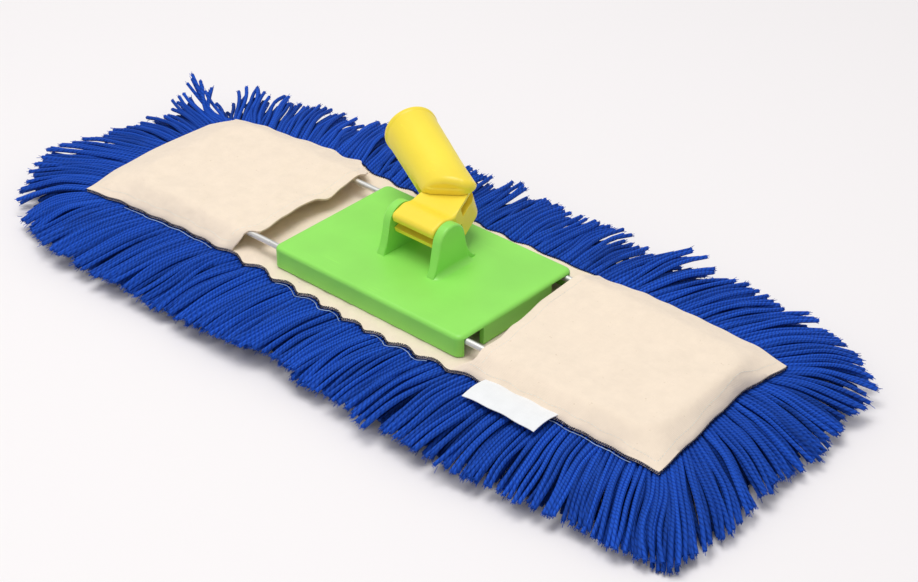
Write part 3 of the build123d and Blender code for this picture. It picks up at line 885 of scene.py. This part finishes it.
@dataclass
class Backing(CoverPart):
    """Half of the base canvas, from the middle of the plate to one end."""

    top: float = 23.3
    thick: float = 1.1
    fall: float = 16.0
    under_edge: float = 1.0
    wave: float = 0.35
    wave_reach: float = 120.0
    wave_scale: float = 0.06
    inner_wave: float = 0.3
    columns: int = 110
    rows: int = 56

    def point(self, along: float, share: float) -> Vector:
        """A point of the canvas: flat under the plate, easing down to its edge.

        Args:
            along: The share of the way from the middle to the end.
            share: The share of the way across, from near to far.

        Returns:
            The point.
        """
        end = self.outline.end_x(self.side, share)
        spot = self.outline.spot(end * along, share)
        way, rim = self.outline.rim(spot.x, spot.y)
        part = min(1.0, way / self.fall)
        spot.z = rim - self.under_edge + (self.top - rim + self.under_edge) * part * (2.0 - part)
        bare = self.wave * max(0.0, 1.0 - abs(spot.x) / self.wave_reach)
        calm = 1.0 if way < self.fall else self.inner_wave
        spot.z += bare * noise.noise(spot * self.wave_scale) * calm
        return spot

    def build(self) -> Piece:
        """Makes the half, bakes its transform and hides the CAD backing it stands for.

        Returns:
            The canvas.
        """
        name = f"backing_{self.side.value}_half"
        along, across = spaced(0.0, 1.0, self.columns), spaced(0.0, 1.0, self.rows)
        cloth = woven(name, along, across, self.point, self.thick, Finishes.CANVAS)
        return self.carry(cloth, Carry.BENDS, "canvas", *self.half_nodes("backing"))


@dataclass(frozen=True)
class Ruffle:
    """One kind of unevenness of a cloth, a noise that is read along two slanting lines."""

    high: float
    along: tuple[float, float]
    across: tuple[float, float]
    layer: float

    def at(self, x: float, y: float, turn: float = 1.0) -> float:
        """The noise at a place, between -1 and 1."""
        (first, second), (third, fourth) = self.along, self.across
        return noise.noise(Vector((x * first + y * second, x * third + y * fourth, self.layer * turn)))


@dataclass(frozen=True)
class Mouth:
    """The open edge of a pocket, read by the share of the way across: where it lies and how it lifts."""

    line: Profile
    lift: Profile


@dataclass
class Pocket(CoverPart):
    """A canvas pocket stretched over one wire loop, with a turned hem at its mouth."""

    mouth: Mouth
    reach: float = 205.5
    half: float = 46.5
    corner: float = 16.5
    crest: float = 37.0
    ridge: float = 12.0
    sag: float = 2.4
    sag_way: float = 16.0
    thick: float = 0.9
    depth: float = 140.0
    hem: float = 8.0
    hem_rows: tuple[float, ...] = (1.3, 3.2, 5.5)
    past_hem: float = 2.0
    columns: int = 60
    rows: int = 64
    turn: float = 1.0
    turn_drop: float = 1.15
    lip_drop: float = 0.55
    lip_way: float = 14.0
    calm_way: float = 9.0
    fold: Ruffle = Ruffle(0.9, (0.021, 0.0), (0.0, 0.03), 3.0)
    crease: Ruffle = Ruffle(1.1, (0.032, 0.03), (-0.01, 0.012), 9.0)
    crease_top: float = 0.4
    pucker: Ruffle = Ruffle(0.22, (0.11, 0.0), (0.0, 0.11), 5.0)
    side_seams: tuple[float, float] = (0.03, 0.975)
    side_span: tuple[float, float] = (4.0, 135.0)
    end_seam: float = 135.5
    hem_seam: float = 6.5
    hem_span: tuple[float, float] = (0.05, 0.95)
    cross_stitches: int = 56
    stitch: float = 0.17
    stitch_gap: float = 0.16
    stitch_top: tuple[float, float] = (0.35, 0.65)
    stitch_lift: float = 0.08

    def outside(self, x: float, y: float) -> float:
        """Measures from the wire loop's outline.

        Args:
            x: Place along the mop.
            y: Place across it.

        Returns:
            The distance out from the outline, below zero inside it.
        """
        past = self.side.sign * x - (self.reach - self.corner)
        over = abs(y) - (self.half - self.corner)
        out = math.hypot(max(past, 0.0), max(over, 0.0))
        return out + min(max(past, over), 0.0) - self.corner

    def height(self, x: float, y: float) -> float:
        """Shapes the cloth: a tent over the wire, slack between its legs.

        Args:
            x: Place along the mop.
            y: Place across it.

        Returns:
            The cloth's height.
        """
        out = self.outside(x, y)
        ridge = 0.5 * (out + math.sqrt(out * out + self.ridge))
        way, rim = self.outline.rim(x, y)
        part = ridge / (ridge + way) if way > 0.0 else 1.0
        slack = self.sag * (1.0 - math.exp(min(0.0, out) / self.sag_way))
        rise = (self.crest - slack - rim) * (1.0 - part)
        fold = self.fold.high * self.fold.at(x, y, self.side.sign)
        crease = self.crease.high * (self.crease_top - abs(self.crease.at(x, y)))
        pucker = self.pucker.high * self.pucker.at(x, y, self.side.sign)
        calm = min(1.0, way / self.calm_way)
        return rim + rise + calm * (fold + crease + pucker)

    def point(self, along: float, share: float) -> Vector:
        """A point of the pocket.

        Args:
            along: Millimetres from the mouth, under the hem where it is negative.
            share: The share of the way across, from near to far.

        Returns:
            The point.
        """
        lip = self.mouth.line.at(share)
        end = self.outline.end_x(self.side, share)
        inward = along if abs(along) <= self.turn else abs(along)
        spot = self.outline.spot(lip + (end - lip) * inward / self.depth, share)
        spot.z = self.height(spot.x, spot.y)
        spot.z += self.mouth.lift.at(share) * math.exp(-abs(along) / self.lip_way)
        if along < -self.turn:
            spot.z -= self.turn_drop
        elif along < self.turn:
            spot.z -= self.lip_drop
        return spot

    def build(self) -> Piece:
        """Makes the pocket's cloth and ties it to the wing.

        Returns:
            The cloth.
        """
        rows = (*self.hem_rows, self.hem)
        turned = [-row for row in reversed(rows)] + [0.0, *rows]
        columns = turned + spaced(self.hem + self.past_hem, self.depth, self.columns)
        name, across = f"pocket_{self.side.value}_cloth", spaced(0.0, 1.0, self.rows)
        cloth = woven(name, columns, across, self.point, self.thick, Finishes.CANVAS)
        return self.carry(cloth, Carry.RIDES, "canvas", f"{self.side.value}_pocket")

    def sew(self) -> Piece:
        """Adds the rows of stitches along the sewn sides and the hem.

        Returns:
            The stitches.
        """
        sides = spaced(*self.side_span, self.columns)
        rows = [[self.point(along, share) for along in sides] for share in self.side_seams]
        for along, span in ((self.end_seam, self.side_seams), (self.hem_seam, self.hem_span)):
            rows.append([self.point(along, share) for share in spaced(*span, self.cross_stitches)])
        lift = Vector((0.0, 0.0, self.stitch_lift))
        paths = []
        for row in rows:
            for start, end in zip(row, row[1:]):
                gap = self.stitch_gap * (end - start)
                over = [start.lerp(end, part) + lift for part in self.stitch_top]
                paths.append([start + gap - lift, *over, end - gap - lift])
        name, tones = f"pocket_{self.side.value}_stitches", shades(seed=5, low=0.8, high=1.0)
        stitches = spun(name, paths, self.stitch, Finishes.THREAD, tones, sides=4)
        return self.carry(stitches, Carry.RIDES, "canvas")


@dataclass(frozen=True)
class Lock:
    """A few neighbouring strands that lie the same way, in millimetres."""

    start: float
    wide: float
    pull: float
    lean: float
    longer: float
    lift: float
    bulge: float
    curl: float

    @property
    def middle(self) -> float:
        """The middle of the lock on the edge."""
        return self.start + self.wide / 2.0

    @classmethod
    def drawn(cls, start: float, draw: random.Random) -> "Lock":
        """Draws one lock.

        Args:
            start: Where it starts on the edge.
            draw: The seeded source of chance.

        Returns:
            The lock.
        """
        return cls(
            start=start,
            wide=draw.uniform(8.0, 22.0),
            pull=draw.uniform(0.0, 0.3),
            lean=draw.gauss(0.0, 2.4),
            longer=draw.gauss(0.0, 2.4),
            lift=draw.gauss(0.6, 1.5),
            bulge=draw.uniform(0.0, 3.2),
            curl=draw.gauss(0.0, 2.0),
        )


@dataclass(frozen=True)
class Scatter:
    """How far chance moves a strand, as standard deviations in millimetres."""

    aim: float = 0.7
    longer: float = 1.6
    lift: float = 0.6
    bow: float = 0.8
    curl: float = 0.45
    aside: float = 0.5
    up: float = 0.4
    tuft_root: float = 2.5
    tuft_knee: float = 2.0
    tuft_up: float = 0.6
    fibre: float = 0.65
    chain: float = 0.1


@dataclass
class Fringe(CoverPart):
    """The yarn sewn round one half of the cover, in layers, gathered into locks.

    Each guide gives the tip of a strand for its root on the canvas edge:
    root x, root y, tip x, tip y, tip z, and how unruly the strands are there.
    The layers run from the top one down, each shorter and lower, and painted darker as shade under the
    layers above.
    """

    edge: list[Vector]
    radius: float = 1.32
    pitch: float = 3.05
    jitter: float = 0.25
    seed: int = 20
    scatter: Scatter = Scatter()
    shorter: tuple[float, ...] = (0.0, 3.5, 11.0, 17.0)
    lower: tuple[float, ...] = (0.0, 2.0, 5.0, 8.0)
    # Tone range of each layer: lower layers get lower tones, which is painted shade under the layers above;
    # within a range the tone differs at random.
    tones: tuple[tuple[float, float], ...] = ((0.6, 1.0), (0.35, 0.65), (0.1, 0.3), (0.0, 0.15))
    seam_drop: float = 4.6
    layer_drop: float = 1.7
    sewn: float = 6.0
    crown_out: float = 3.0
    crown_up: float = 1.1
    droop: float = 1.6
    lean_aim: float = 0.4
    lean_bow: float = 0.45
    bow_wave: float = 0.85
    curl_share: float = 0.5
    curl_wave: float = 1.1
    stations: tuple[float, ...] = (0.3, 0.56, 0.8, 1.0)
    guides: tuple[tuple[float, float, float, float, float, float], ...] = (
        (-225, -60, -252, -104, 8, 0.7), (-190, -58, -208, -115, 11, 0.6),
        (-140, -55, -156.3, -115.6, 10.8, 0.6), (-90, -56, -103.3, -115.6, 10.8, 0.6),
        (-50, -58, -55, -114, 13, 0.6), (-20, -59, -22, -109, 14, 0.6), (20, -61, 22, -113, 12, 0.6),
        (70, -60, 75.4, -117, 11.3, 0.6), (95, -60, 99.4, -117, 11.3, 0.6),
        (120, -60, 132.7, -115.6, 10.8, 0.6), (165, -60, 190, -110, 10, 0.6), (197, -59, 232, -107, 8, 0.7),
        (220, -57, 259, -98, 6, 0.8), (220, -42, 267, -72, 7, 0.8), (217, -8, 262, -22, 8, 0.8),
        (213, 30, 261, 38, 8, 0.8), (211, 50, 261, 75, 9, 0.9), (214, 62, 258, 95, 9, 0.9),
        (210, 68, 238, 115, 10, 1.0), (185, 69, 203, 127, 11, 1.0), (140, 69, 152, 133, 13, 1.0),
        (100, 69, 108, 132, 14, 1.0), (70, 69, 68, 124, 15, 1.0), (0, 68, -3, 126, 16, 1.0),
        (-70, 68, -86, 124, 16, 1.0), (-140, 68, -162, 126, 16, 1.1), (-190, 68, -217, 119, 17, 1.2),
        (-226, 64, -256, 103, 18, 1.3), (-235, 48, -283, 60, 16, 1.2), (-236, 10, -288, 0, 14, 1.1),
        (-236, -18, -300, -38, 12, 1.0), (-235, -44, -289, -73, 9, 0.9),
    )
    tuft_root: Triple = (-229.0, 62.0, 18.0)
    tuft_knee: Triple = (-256.0, 61.0, 18.5)
    tuft_sewn: Triple = (5.0, -3.0, -1.0)
    tuft_low: float = 0.6
    tuft_high: float = 0.5
    tuft: tuple[Triple, ...] = (
        (-280, 71, 36), (-280, 66, 31), (-268, 69, 32), (-264, 74, 30), (-273, 72, 33), (-284, 74, 30),
        (-262, 70, 29),
    )
    fray_seed: int = 29
    fibres: int = 7
    fibre_radius: float = 0.2
    fibre_back: float = 2.0
    fibre_long: tuple[float, float] = (0.2, 1.5)
    fibre_pinch: float = 0.7
    fibre_flare: float = 1.4
    lowest: float = 0.5
    wind: float = 1.3
    wind_points: int = 6
    wind_look: float = 4.0
    wind_out: float = 0.1
    wind_wide: float = 0.65
    wind_high: float = 0.6
    wind_drop: float = 0.9
    wind_radius: float = 0.26
    chain_radius: float = 0.24
    chain_out: float = 2.1
    chain_sway: float = 0.25
    chain_drop: float = 2.0
    chain_left: Knots = ((-196.0, -118.0), (-62.0, -6.0))
    chain_right: Knots = ((18.0, 60.0), (136.0, 204.0))
    chain_lengths: int = 5
    chain_points: int = 6
    chain_seed: int = 25

    def __post_init__(self) -> None:
        """Measures the edge and finds each guide's place on it."""
        runs = [0.0]
        for start, end in zip(self.edge, self.edge[1:]):
            runs.append(runs[-1] + (end - start).length)
        self.round = runs[-1] + (self.edge[0] - self.edge[-1]).length
        placed = []
        for x, y, *tip in self.guides:
            gaps = [math.hypot(spot.x - x, spot.y - y) for spot in self.edge]
            placed.append((runs[gaps.index(min(gaps))], tip))
        placed.sort()
        (first, first_tip), (last, last_tip) = placed[0], placed[-1]
        self.placed = [(last - self.round, last_tip), *placed, (first + self.round, first_tip)]

    def root(self, run: float) -> Vector:
        """The point of the canvas edge after a run round it."""
        return self.edge[int(run / self.round * len(self.edge)) % len(self.edge)]

    def tip(self, run: float) -> list[float]:
        """Reads between the two guides round a place on the edge.

        Args:
            run: The way round the edge.

        Returns:
            The tip's x, y and z, and how unruly the strand is.
        """
        run %= self.round
        pairs = zip(self.placed, self.placed[1:])
        (start, before), (end, after) = next(pair for pair in pairs if run < pair[1][0])
        part = (run - start) / (end - start)
        return [low + (high - low) * part for low, high in zip(before, after)]

    def locks(self, draw: random.Random) -> list[Lock]:
        """Divides the edge into locks of yarn.

        Args:
            draw: The seeded source of chance.

        Returns:
            The locks in order round the edge.
        """
        found, run = [], 0.0
        while run < self.round:
            found.append(Lock.drawn(run, draw))
            run += found[-1].wide
        return found

    def strands(self, layer: int) -> list[Strand]:
        """Lays every strand of one layer of this half.

        Args:
            layer: 0 for the top layer.

        Returns:
            The control points of each strand.
        """
        draw = random.Random(self.seed + layer)
        locks = self.locks(draw)
        paths = []
        for step in range(int(self.round / self.pitch)):
            run = (step + draw.uniform(-self.jitter, self.jitter)) * self.pitch
            lock = next((item for item in reversed(locks) if item.start <= run), locks[0])
            paths.append(self.strand(run, layer, lock, draw))
        if layer == 0:
            paths += self.tufted(draw)
        return [path for path in paths if path[1].x * self.side.sign >= 0.0]

    def strand(self, run: float, layer: int, lock: Lock, draw: random.Random) -> Strand:
        """Lays one strand from under the canvas edge to its tip.

        Args:
            run: Its place round the edge.
            layer: 0 for the top layer.
            lock: The lock it belongs to.
            draw: The seeded source of chance.

        Returns:
            Its six control points.
        """
        stray = self.scatter
        root = self.root(run).copy()
        aim = run + lock.pull * (lock.middle - run) + self.lean_aim * lock.lean
        x, y, z, wild = self.tip(aim + draw.gauss(0.0, stray.aim))
        tip = Vector((x, y, z))
        out = Vector((tip.x - root.x, tip.y - root.y, 0.0)).normalized()
        aside = Vector((-out.y, out.x, 0.0))
        tip += out * (wild * (lock.longer + draw.gauss(0.0, stray.longer)) - self.shorter[layer])
        lift = wild * (lock.lift + draw.gauss(0.0, stray.lift))
        tip.z = max(self.radius, tip.z + lift - self.lower[layer])
        root.z -= self.seam_drop + self.layer_drop * layer
        crown = root + out * self.crown_out + Vector((0.0, 0.0, self.crown_up))
        path = [root - out * self.sewn, crown]
        bow = wild * (self.lean_bow * lock.lean + draw.gauss(0.0, stray.bow))
        curl = wild * (self.curl_share * lock.curl + draw.gauss(0.0, stray.curl))
        for part in self.stations:
            spot = crown.lerp(tip, part)
            arch = lock.bulge * math.sin(math.pi * part)
            spot.z = crown.z + (tip.z - crown.z) * part ** self.droop + arch
            sway = bow * math.sin(math.pi * part * self.bow_wave)
            spot += aside * (sway + curl * math.sin(math.tau * part * self.curl_wave))
            spot += aside * draw.gauss(0.0, stray.aside) + Vector((0.0, 0.0, draw.gauss(0.0, stray.up)))
            spot.z = max(self.radius, spot.z)
            path.append(spot)
        return path

    def tufted(self, draw: random.Random) -> list[Strand]:
        """Lays the few strands that stand up at the far left corner.

        Args:
            draw: The seeded source of chance.

        Returns:
            The control points of each strand.
        """
        stray, paths = self.scatter, []
        for tip in map(Vector, self.tuft):
            moved = (draw.gauss(0.0, stray.tuft_root), draw.gauss(0.0, stray.tuft_root), 0.0)
            inner = Vector(self.tuft_root) + Vector(moved)
            moved = (draw.gauss(0.0, stray.tuft_knee), draw.gauss(0.0, stray.tuft_knee))
            bend = Vector(self.tuft_knee) + Vector((*moved, draw.gauss(0.0, stray.tuft_up)))
            sewn = inner + Vector(self.tuft_sewn)
            low, high = inner.lerp(bend, self.tuft_low), bend.lerp(tip, self.tuft_high)
            paths.append([sewn, inner, low, bend, high, tip])
        return paths

    def frayed(self, strands: Sequence[Strand]) -> list[Strand]:
        """Splits the end of each strand into loose fibres.

        Args:
            strands: The strands' control points.

        Returns:
            The control points of each fibre.
        """
        draw = random.Random(self.fray_seed)
        fibres = []
        for strand in strands:
            tip = strand[-1]
            way = (tip - strand[-2]).normalized()
            for _ in range(self.fibres):
                spread = Vector([draw.gauss(0.0, self.scatter.fibre) for _ in range(3)])
                root = tip - way * self.fibre_back + spread * self.fibre_pinch
                end = tip + way * draw.uniform(*self.fibre_long) + spread * self.fibre_flare
                fibre = [root, tip + spread, end]
                for spot in fibre:
                    spot.z = max(self.lowest, spot.z)
                fibres.append(fibre)
        return fibres

    def build(self) -> Piece:
        """Makes this half of the fringe, bakes its transform and hides the CAD fringe it stands for.

        Returns:
            The fringe.
        """
        side = self.side.value
        layers = [self.strands(layer) for layer in range(len(self.tones))]
        draw = random.Random(self.seed)
        # Each strand draws its tone from its layer's range, so the lower layers carry painted shade.
        tones = [draw.uniform(*span) for span, layer in zip(self.tones, layers) for _ in layer]
        fringe = spun(f"fringe_{side}_half", sum(layers, []), self.radius, Finishes.YARN, tones, tip=0.95)
        centre = "fringe_front_centre" if self.side is Side.LEFT else "fringe_back_centre"
        nodes = (f"fringe_front_{side}", f"fringe_back_{side}", f"fringe_end_{side}", centre)
        return self.carry(fringe, Carry.BENDS, "blue_yarn", *nodes)

    def fray(self) -> Piece:
        """Adds the loose fibres at the strands' tips.

        Returns:
            The fibres.
        """
        fibres = self.frayed(self.strands(0) + self.strands(1))
        name, tones = f"fray_{self.side.value}_half", shades(seed=11, low=0.3, high=1.0)
        loose = spun(name, fibres, self.fibre_radius, Finishes.FRAY, tones, sides=4, tip=0.8)
        return self.carry(loose, Carry.BENDS, "blue_yarn")

    def overlock(self) -> Piece:
        """Adds the navy thread wound over the canvas edge, in lengths of two turns.

        Returns:
            The thread.
        """
        path = []
        for step in range(int(self.round / self.wind * self.wind_points)):
            run = step * self.wind / self.wind_points
            ahead = self.root(run + self.wind_look) - self.root(run - self.wind_look)
            out = Vector((ahead.y, -ahead.x, 0.0)).normalized()
            angle = math.tau * step / self.wind_points
            rise = Vector((0.0, 0.0, self.wind_high * math.sin(angle) - self.wind_drop))
            path.append(self.root(run) + out * (self.wind_out + self.wind_wide * math.cos(angle)) + rise)
        long = 2 * self.wind_points
        kept = [path[start:start + long + 1] for start in range(0, len(path) - long - 1, long)]
        kept = [part for part in kept if part[self.wind_points].x * self.side.sign >= 0.0]
        name, tones = f"overlock_{self.side.value}_half", shades(seed=7, low=0.4, high=1.0)
        thread = spun(name, kept, self.wind_radius, Finishes.OVERLOCK, tones, sides=4)
        return self.carry(thread, Carry.BENDS, "blue_yarn")

    def chain(self) -> Piece:
        """Adds the loose pale end of the sewing thread that shows along the near seam.

        Returns:
            The thread.
        """
        draw = random.Random(self.chain_seed)
        paths = []
        for low, high in self.chain_left if self.side is Side.LEFT else self.chain_right:
            step = (high - low) / self.chain_lengths
            for start in spaced(low, high, self.chain_lengths + 1)[:-1]:
                path = []
                for x in spaced(start, start + step, self.chain_points):
                    y = self.outline.near_y(x) - self.chain_out + self.chain_sway * math.sin(x)
                    z = self.outline.seam_z(x) - self.chain_drop + draw.gauss(0.0, self.scatter.chain)
                    path.append(Vector((x, y, z)))
                paths.append(path)
        name, tones = f"seam_thread_{self.side.value}", shades(seed=13, low=0.5, high=1.0)
        thread = spun(name, paths, self.chain_radius, Finishes.CHAIN, tones, sides=4)
        return self.carry(thread, Carry.BENDS, "blue_yarn")


@dataclass
class Pile(CoverPart):
    """The loops of yarn sewn in rows under one half of the canvas."""

    radius: float = 1.4
    rows: int = 9
    first_row: float = -48.0
    row_gap: float = 13.5
    pitch: float = 3.4
    start: float = 1.5
    margin: float = 4.0
    top: float = 21.6
    end_drop: float = 1.5
    end_from: float = 190.0
    end_way: float = 40.0
    knee: float = 12.0
    heel: float = 2.0
    foot: float = 1.5
    reach: tuple[float, float] = (7.0, 11.0)
    ways: tuple[float, ...] = (-0.7, -1.0, 0.2, 0.9)
    slant: float = 3.0
    leans: tuple[float, ...] = (0.3, 1.0, 1.3, 0.8)
    jog: float = 0.8
    stagger: float = 1.5
    uneven: float = 1.0
    seed: int = 77

    def loops(self) -> list[Strand]:
        """Lays the loops: down from the canvas, along the floor and back up.

        Returns:
            The control points of each loop.
        """
        draw = random.Random(self.seed + int(self.side.sign))
        paths = []
        for row in range(self.rows):
            end = abs(self.outline.end_x(self.side, row / (self.rows - 1.0))) - self.margin
            for step in range(int(end / self.pitch)):
                x = self.side.sign * (self.start + step * self.pitch + draw.uniform(-self.jog, self.jog))
                y = self.first_row + row * self.row_gap + draw.uniform(-self.stagger, self.stagger)
                reach = draw.uniform(*self.reach)
                slant = draw.gauss(0.0, self.slant)
                low = self.radius + abs(draw.gauss(0.0, self.uneven))
                top = self.top - self.end_drop * max(0.0, abs(x) - self.end_from) / self.end_way
                levels = (self.knee, low, low, low + self.heel)
                bends = zip(self.leans, self.ways, levels)
                loop = [Vector((x + lean * slant, y + way * reach, z)) for lean, way, z in bends]
                paths.append([Vector((x, y - self.foot, top)), *loop, Vector((x, y + self.foot, top))])
        return paths

    def build(self) -> Piece:
        """Makes the loops, bakes their transform and hides the CAD rows they stand for.

        Returns:
            The pile of this half.
        """
        name, tones = f"pile_{self.side.value}_half", shades(self.seed, low=0.3, high=1.0)
        pile = spun(name, self.loops(), self.radius, Finishes.PILE, tones)
        return self.carry(pile, Carry.BENDS, "blue_yarn", *self.half_nodes("yarn_rows"))


@dataclass
class Label(CoverPart):
    """The blank woven tape sewn into the near seam."""

    start: float = 101.5
    seam: float = -59.0
    wide: float = 51.0
    deep: float = 18.0
    tuck: float = 3.0
    thick: float = 0.45
    skew: float = 1.2
    clear: float = 0.9
    arch: float = 1.4
    droop: float = 0.9
    curl: float = 1.2
    columns: int = 28
    rows: int = 14

    def point(self, along: float, share: float) -> Vector:
        """A point of the tape.

        Args:
            along: The share of the way along the seam.
            share: The share of the way from the seam to the free edge.

        Returns:
            The point.
        """
        x = self.start + self.wide * along - self.skew * share
        y = self.seam + self.tuck - (self.deep + self.tuck) * share
        arch = self.arch * math.sin(math.pi * share)
        curl = self.curl * math.sin(math.pi * along) * share
        z = self.outline.seam_z(x) + self.clear + arch - self.droop * share * share + curl
        return Vector((x, y, z))

    def build(self) -> Piece:
        """Makes the tape and ties it to the wing.

        Returns:
            The label.
        """
        along, across = spaced(0.0, 1.0, self.columns), spaced(0.0, 1.0, self.rows)
        tape = woven("label_cloth", along, across, self.point, self.thick, Finishes.LABEL)
        return self.carry(tape, Carry.RIDES, "label_cloth", "blank_label")


class Hardware:
    """The plate, wires, swivel and rivet, which keep their CAD shapes."""

    PARTS: dict[str, Finish] = {
        "centre_plate": Finishes.GREEN,
        "left_wire_loop": Finishes.WIRE,
        "right_wire_loop": Finishes.WIRE,
        "swivel_yoke": Finishes.YELLOW,
        "handle_socket": Finishes.YELLOW,
        "swing_rivet": Finishes.RIVET,
    }

    def dress(self) -> None:
        """Gives each CAD piece its finish."""
        for name, finish in self.PARTS.items():
            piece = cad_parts[name]
            for slot in piece.material_slots:
                slot.material = finish.material()
            LOG.info("dressed %s in %s", name, finish.name)


@dataclass(frozen=True)
class LugFeet:
    """The hollow-curved feet that spread the two lugs onto the plate; sizes in millimetres."""

    across: float = 20.0
    middle: float = 2.0
    floor: float = 37.4
    thick: float = 5.6
    tall: float = 12.0
    lug_half: float = 15.0
    lug_taper: float = 0.2
    near_spread: float = 2.2
    far_spread: float = 6.0
    hollow: float = 2.4
    inner: float = 7.0
    sunk: float = 2.0
    soft: float = 0.8
    steps: int = 12

    def foot(self, spread: float) -> bpy.types.Mesh:
        """Cuts one foot flat, with its length on X and its height on Y.

        Args:
            spread: How far the foot reaches past the lug.

        Returns:
            The foot's mesh, in metres.
        """
        curve = bpy.data.curves.new("lug_foot", "CURVE")
        curve.dimensions = "2D"
        curve.fill_mode = "BOTH"
        curve.extrude = (0.5 * self.thick - self.soft) * MM
        curve.bevel_depth = self.soft * MM
        curve.bevel_resolution = 2
        curve.offset = -self.soft * MM
        corners = []
        for high in spaced(self.tall, 0.0, self.steps):
            flare = spread * (1.0 - high / self.tall) ** self.hollow
            corners.append((self.lug_half - self.lug_taper * high + flare, high))
        corners += [(corners[-1][0], -self.sunk), (self.inner, -self.sunk), (self.inner, self.tall)]
        spline = curve.splines.new("POLY")
        spline.points.add(len(corners) - 1)
        for point, (long, high) in zip(spline.points, corners):
            point.co = (long * MM, high * MM, 0.0, 1.0)
        spline.use_cyclic_u = True
        return meshed(curve)

    def build(self) -> Piece:
        """Stands a foot at the near and far edge of each lug.

        Returns:
            The four feet as one piece.
        """
        bm = bmesh.new()
        for side in Side:
            for way, spread in ((-1.0, self.near_spread), (1.0, self.far_spread)):
                foot = self.foot(spread)
                foot.transform(Matrix((
                    (0, 0, 1, side.sign * self.across * MM), (way, 0, 0, self.middle * MM),
                    (0, 1, 0, self.floor * MM), (0, 0, 0, 1),
                )))
                bm.from_mesh(foot)
                bpy.data.meshes.remove(foot)
        bmesh.ops.remove_doubles(bm, verts=bm.verts[:], dist=1e-6)
        bmesh.ops.recalc_face_normals(bm, faces=bm.faces[:])
        feet = finished("lug_feet", settled("lug_feet", bm), Finishes.GREEN)
        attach(feet, "frame")
        return feet


@dataclass(frozen=True)
class Cover:
    """The canvas cover with its pockets, fringe, pile and label."""

    outline: Outline = Outline()
    left_mouth: Mouth = Mouth(
        Profile((
            (0, -105), (0.06, -102.5), (0.13, -94), (0.3, -96.5), (0.42, -98), (0.53, -97), (0.6, -94.5),
            (0.86, -96.5), (0.93, -101), (1, -117),
        )),
        Profile((
            (0, 0), (0.12, 0), (0.3, 1.2), (0.5, 1.0), (0.58, -1.6), (0.68, 0.6), (0.85, 0.6), (1, 1.5),
        )),
    )
    right_mouth: Mouth = Mouth(
        Profile(((0, 77), (0.06, 88), (0.2, 88), (0.35, 84.5), (0.6, 80.6), (0.82, 80.2), (1, 78.5))),
        Profile(((0, 0), (0.3, -0.4), (0.6, 0.2), (1, 0.6))),
    )

    def build(self) -> None:
        outline = self.outline
        edge = outline.walk()
        for side, mouth in ((Side.LEFT, self.left_mouth), (Side.RIGHT, self.right_mouth)):
            backing = Backing(outline, side).build()
            pocket = Pocket(outline, side, mouth)
            cloth = pocket.build()
            stitches = pocket.sew()
            fringe = Fringe(outline, side, edge)
            yarns = [fringe.build(), fringe.fray(), fringe.overlock(), fringe.chain()]
            yarns.append(Pile(outline, side).build())
            half = abs(outline.end_x(side, 0.5)) * MM
        label = Label(outline, Side.RIGHT).build()


@dataclass(frozen=True)
class Lamp:
    """One soft square light aimed at the mop: where it hangs, its side in metres and its watts."""

    name: str
    spot: Triple
    size: float
    power: float

    def build(self) -> None:
        """Hangs the light."""
        data = bpy.data.lights.new(self.name, "AREA")
        data.size = self.size
        data.energy = self.power
        light = bpy.data.objects.new(self.name, data)
        light.location = self.spot
        light.rotation_euler = (-Vector(self.spot)).to_track_quat("-Z", "Y").to_euler()
        bpy.context.scene.collection.objects.link(light)


@dataclass(frozen=True)
class Studio:
    """The camera, the light and the floor, in metres."""

    spot: Triple = (0.7159, -0.7685, 0.6901)
    look: Triple = (-0.56, 0.627, -0.542)
    lens: float = 81.96
    sensor: float = 36.0
    lamps: tuple[Lamp, ...] = (
        Lamp("key_light", (-0.2, -0.18, 2.2), 1.4, 31.6),
        Lamp("front_fill", (0.5, -0.9, 1.6), 1.5, 2.0),
    )
    room_light: float = 0.46
    floor_half: float = 4.0

    def build(self) -> None:
        """Sets up the whole studio."""
        self.camera()
        for lamp in self.lamps:
            lamp.build()
        self.room()
        self.floor()
        bpy.context.scene.view_settings.view_transform = "Standard"

    def camera(self) -> None:
        """Puts the camera where the photograph was taken."""
        data = bpy.data.cameras.new("photo_camera")
        data.lens = self.lens
        data.sensor_width = self.sensor
        camera = bpy.data.objects.new("photo_camera", data)
        camera.location = self.spot
        camera.rotation_euler = Vector(self.look).to_track_quat("-Z", "Y").to_euler()
        bpy.context.scene.collection.objects.link(camera)
        bpy.context.scene.camera = camera

    def room(self) -> None:
        """Fills the room with even white light."""
        world = bpy.data.worlds.new("white_room")
        world.use_nodes = True
        light = world.node_tree.nodes["Background"].inputs
        light["Color"].default_value = (1.0, 1.0, 1.0, 1.0)
        light["Strength"].default_value = self.room_light
        bpy.context.scene.world = world

    def floor(self) -> None:
        """Lays the pale floor."""
        bm = bmesh.new()
        bmesh.ops.create_grid(bm, x_segments=4, y_segments=4, size=self.floor_half)
        finished("studio_floor", settled("studio_floor", bm), Finishes.FLOOR)


def main() -> None:
    """Builds the studio and the mop."""
    logging.basicConfig(level=logging.INFO, format="%(name)s: %(message)s")
    Studio().build()
    Hardware().dress()
    LugFeet().build()
    Cover().build()


if __name__ == "__main__":
    main()
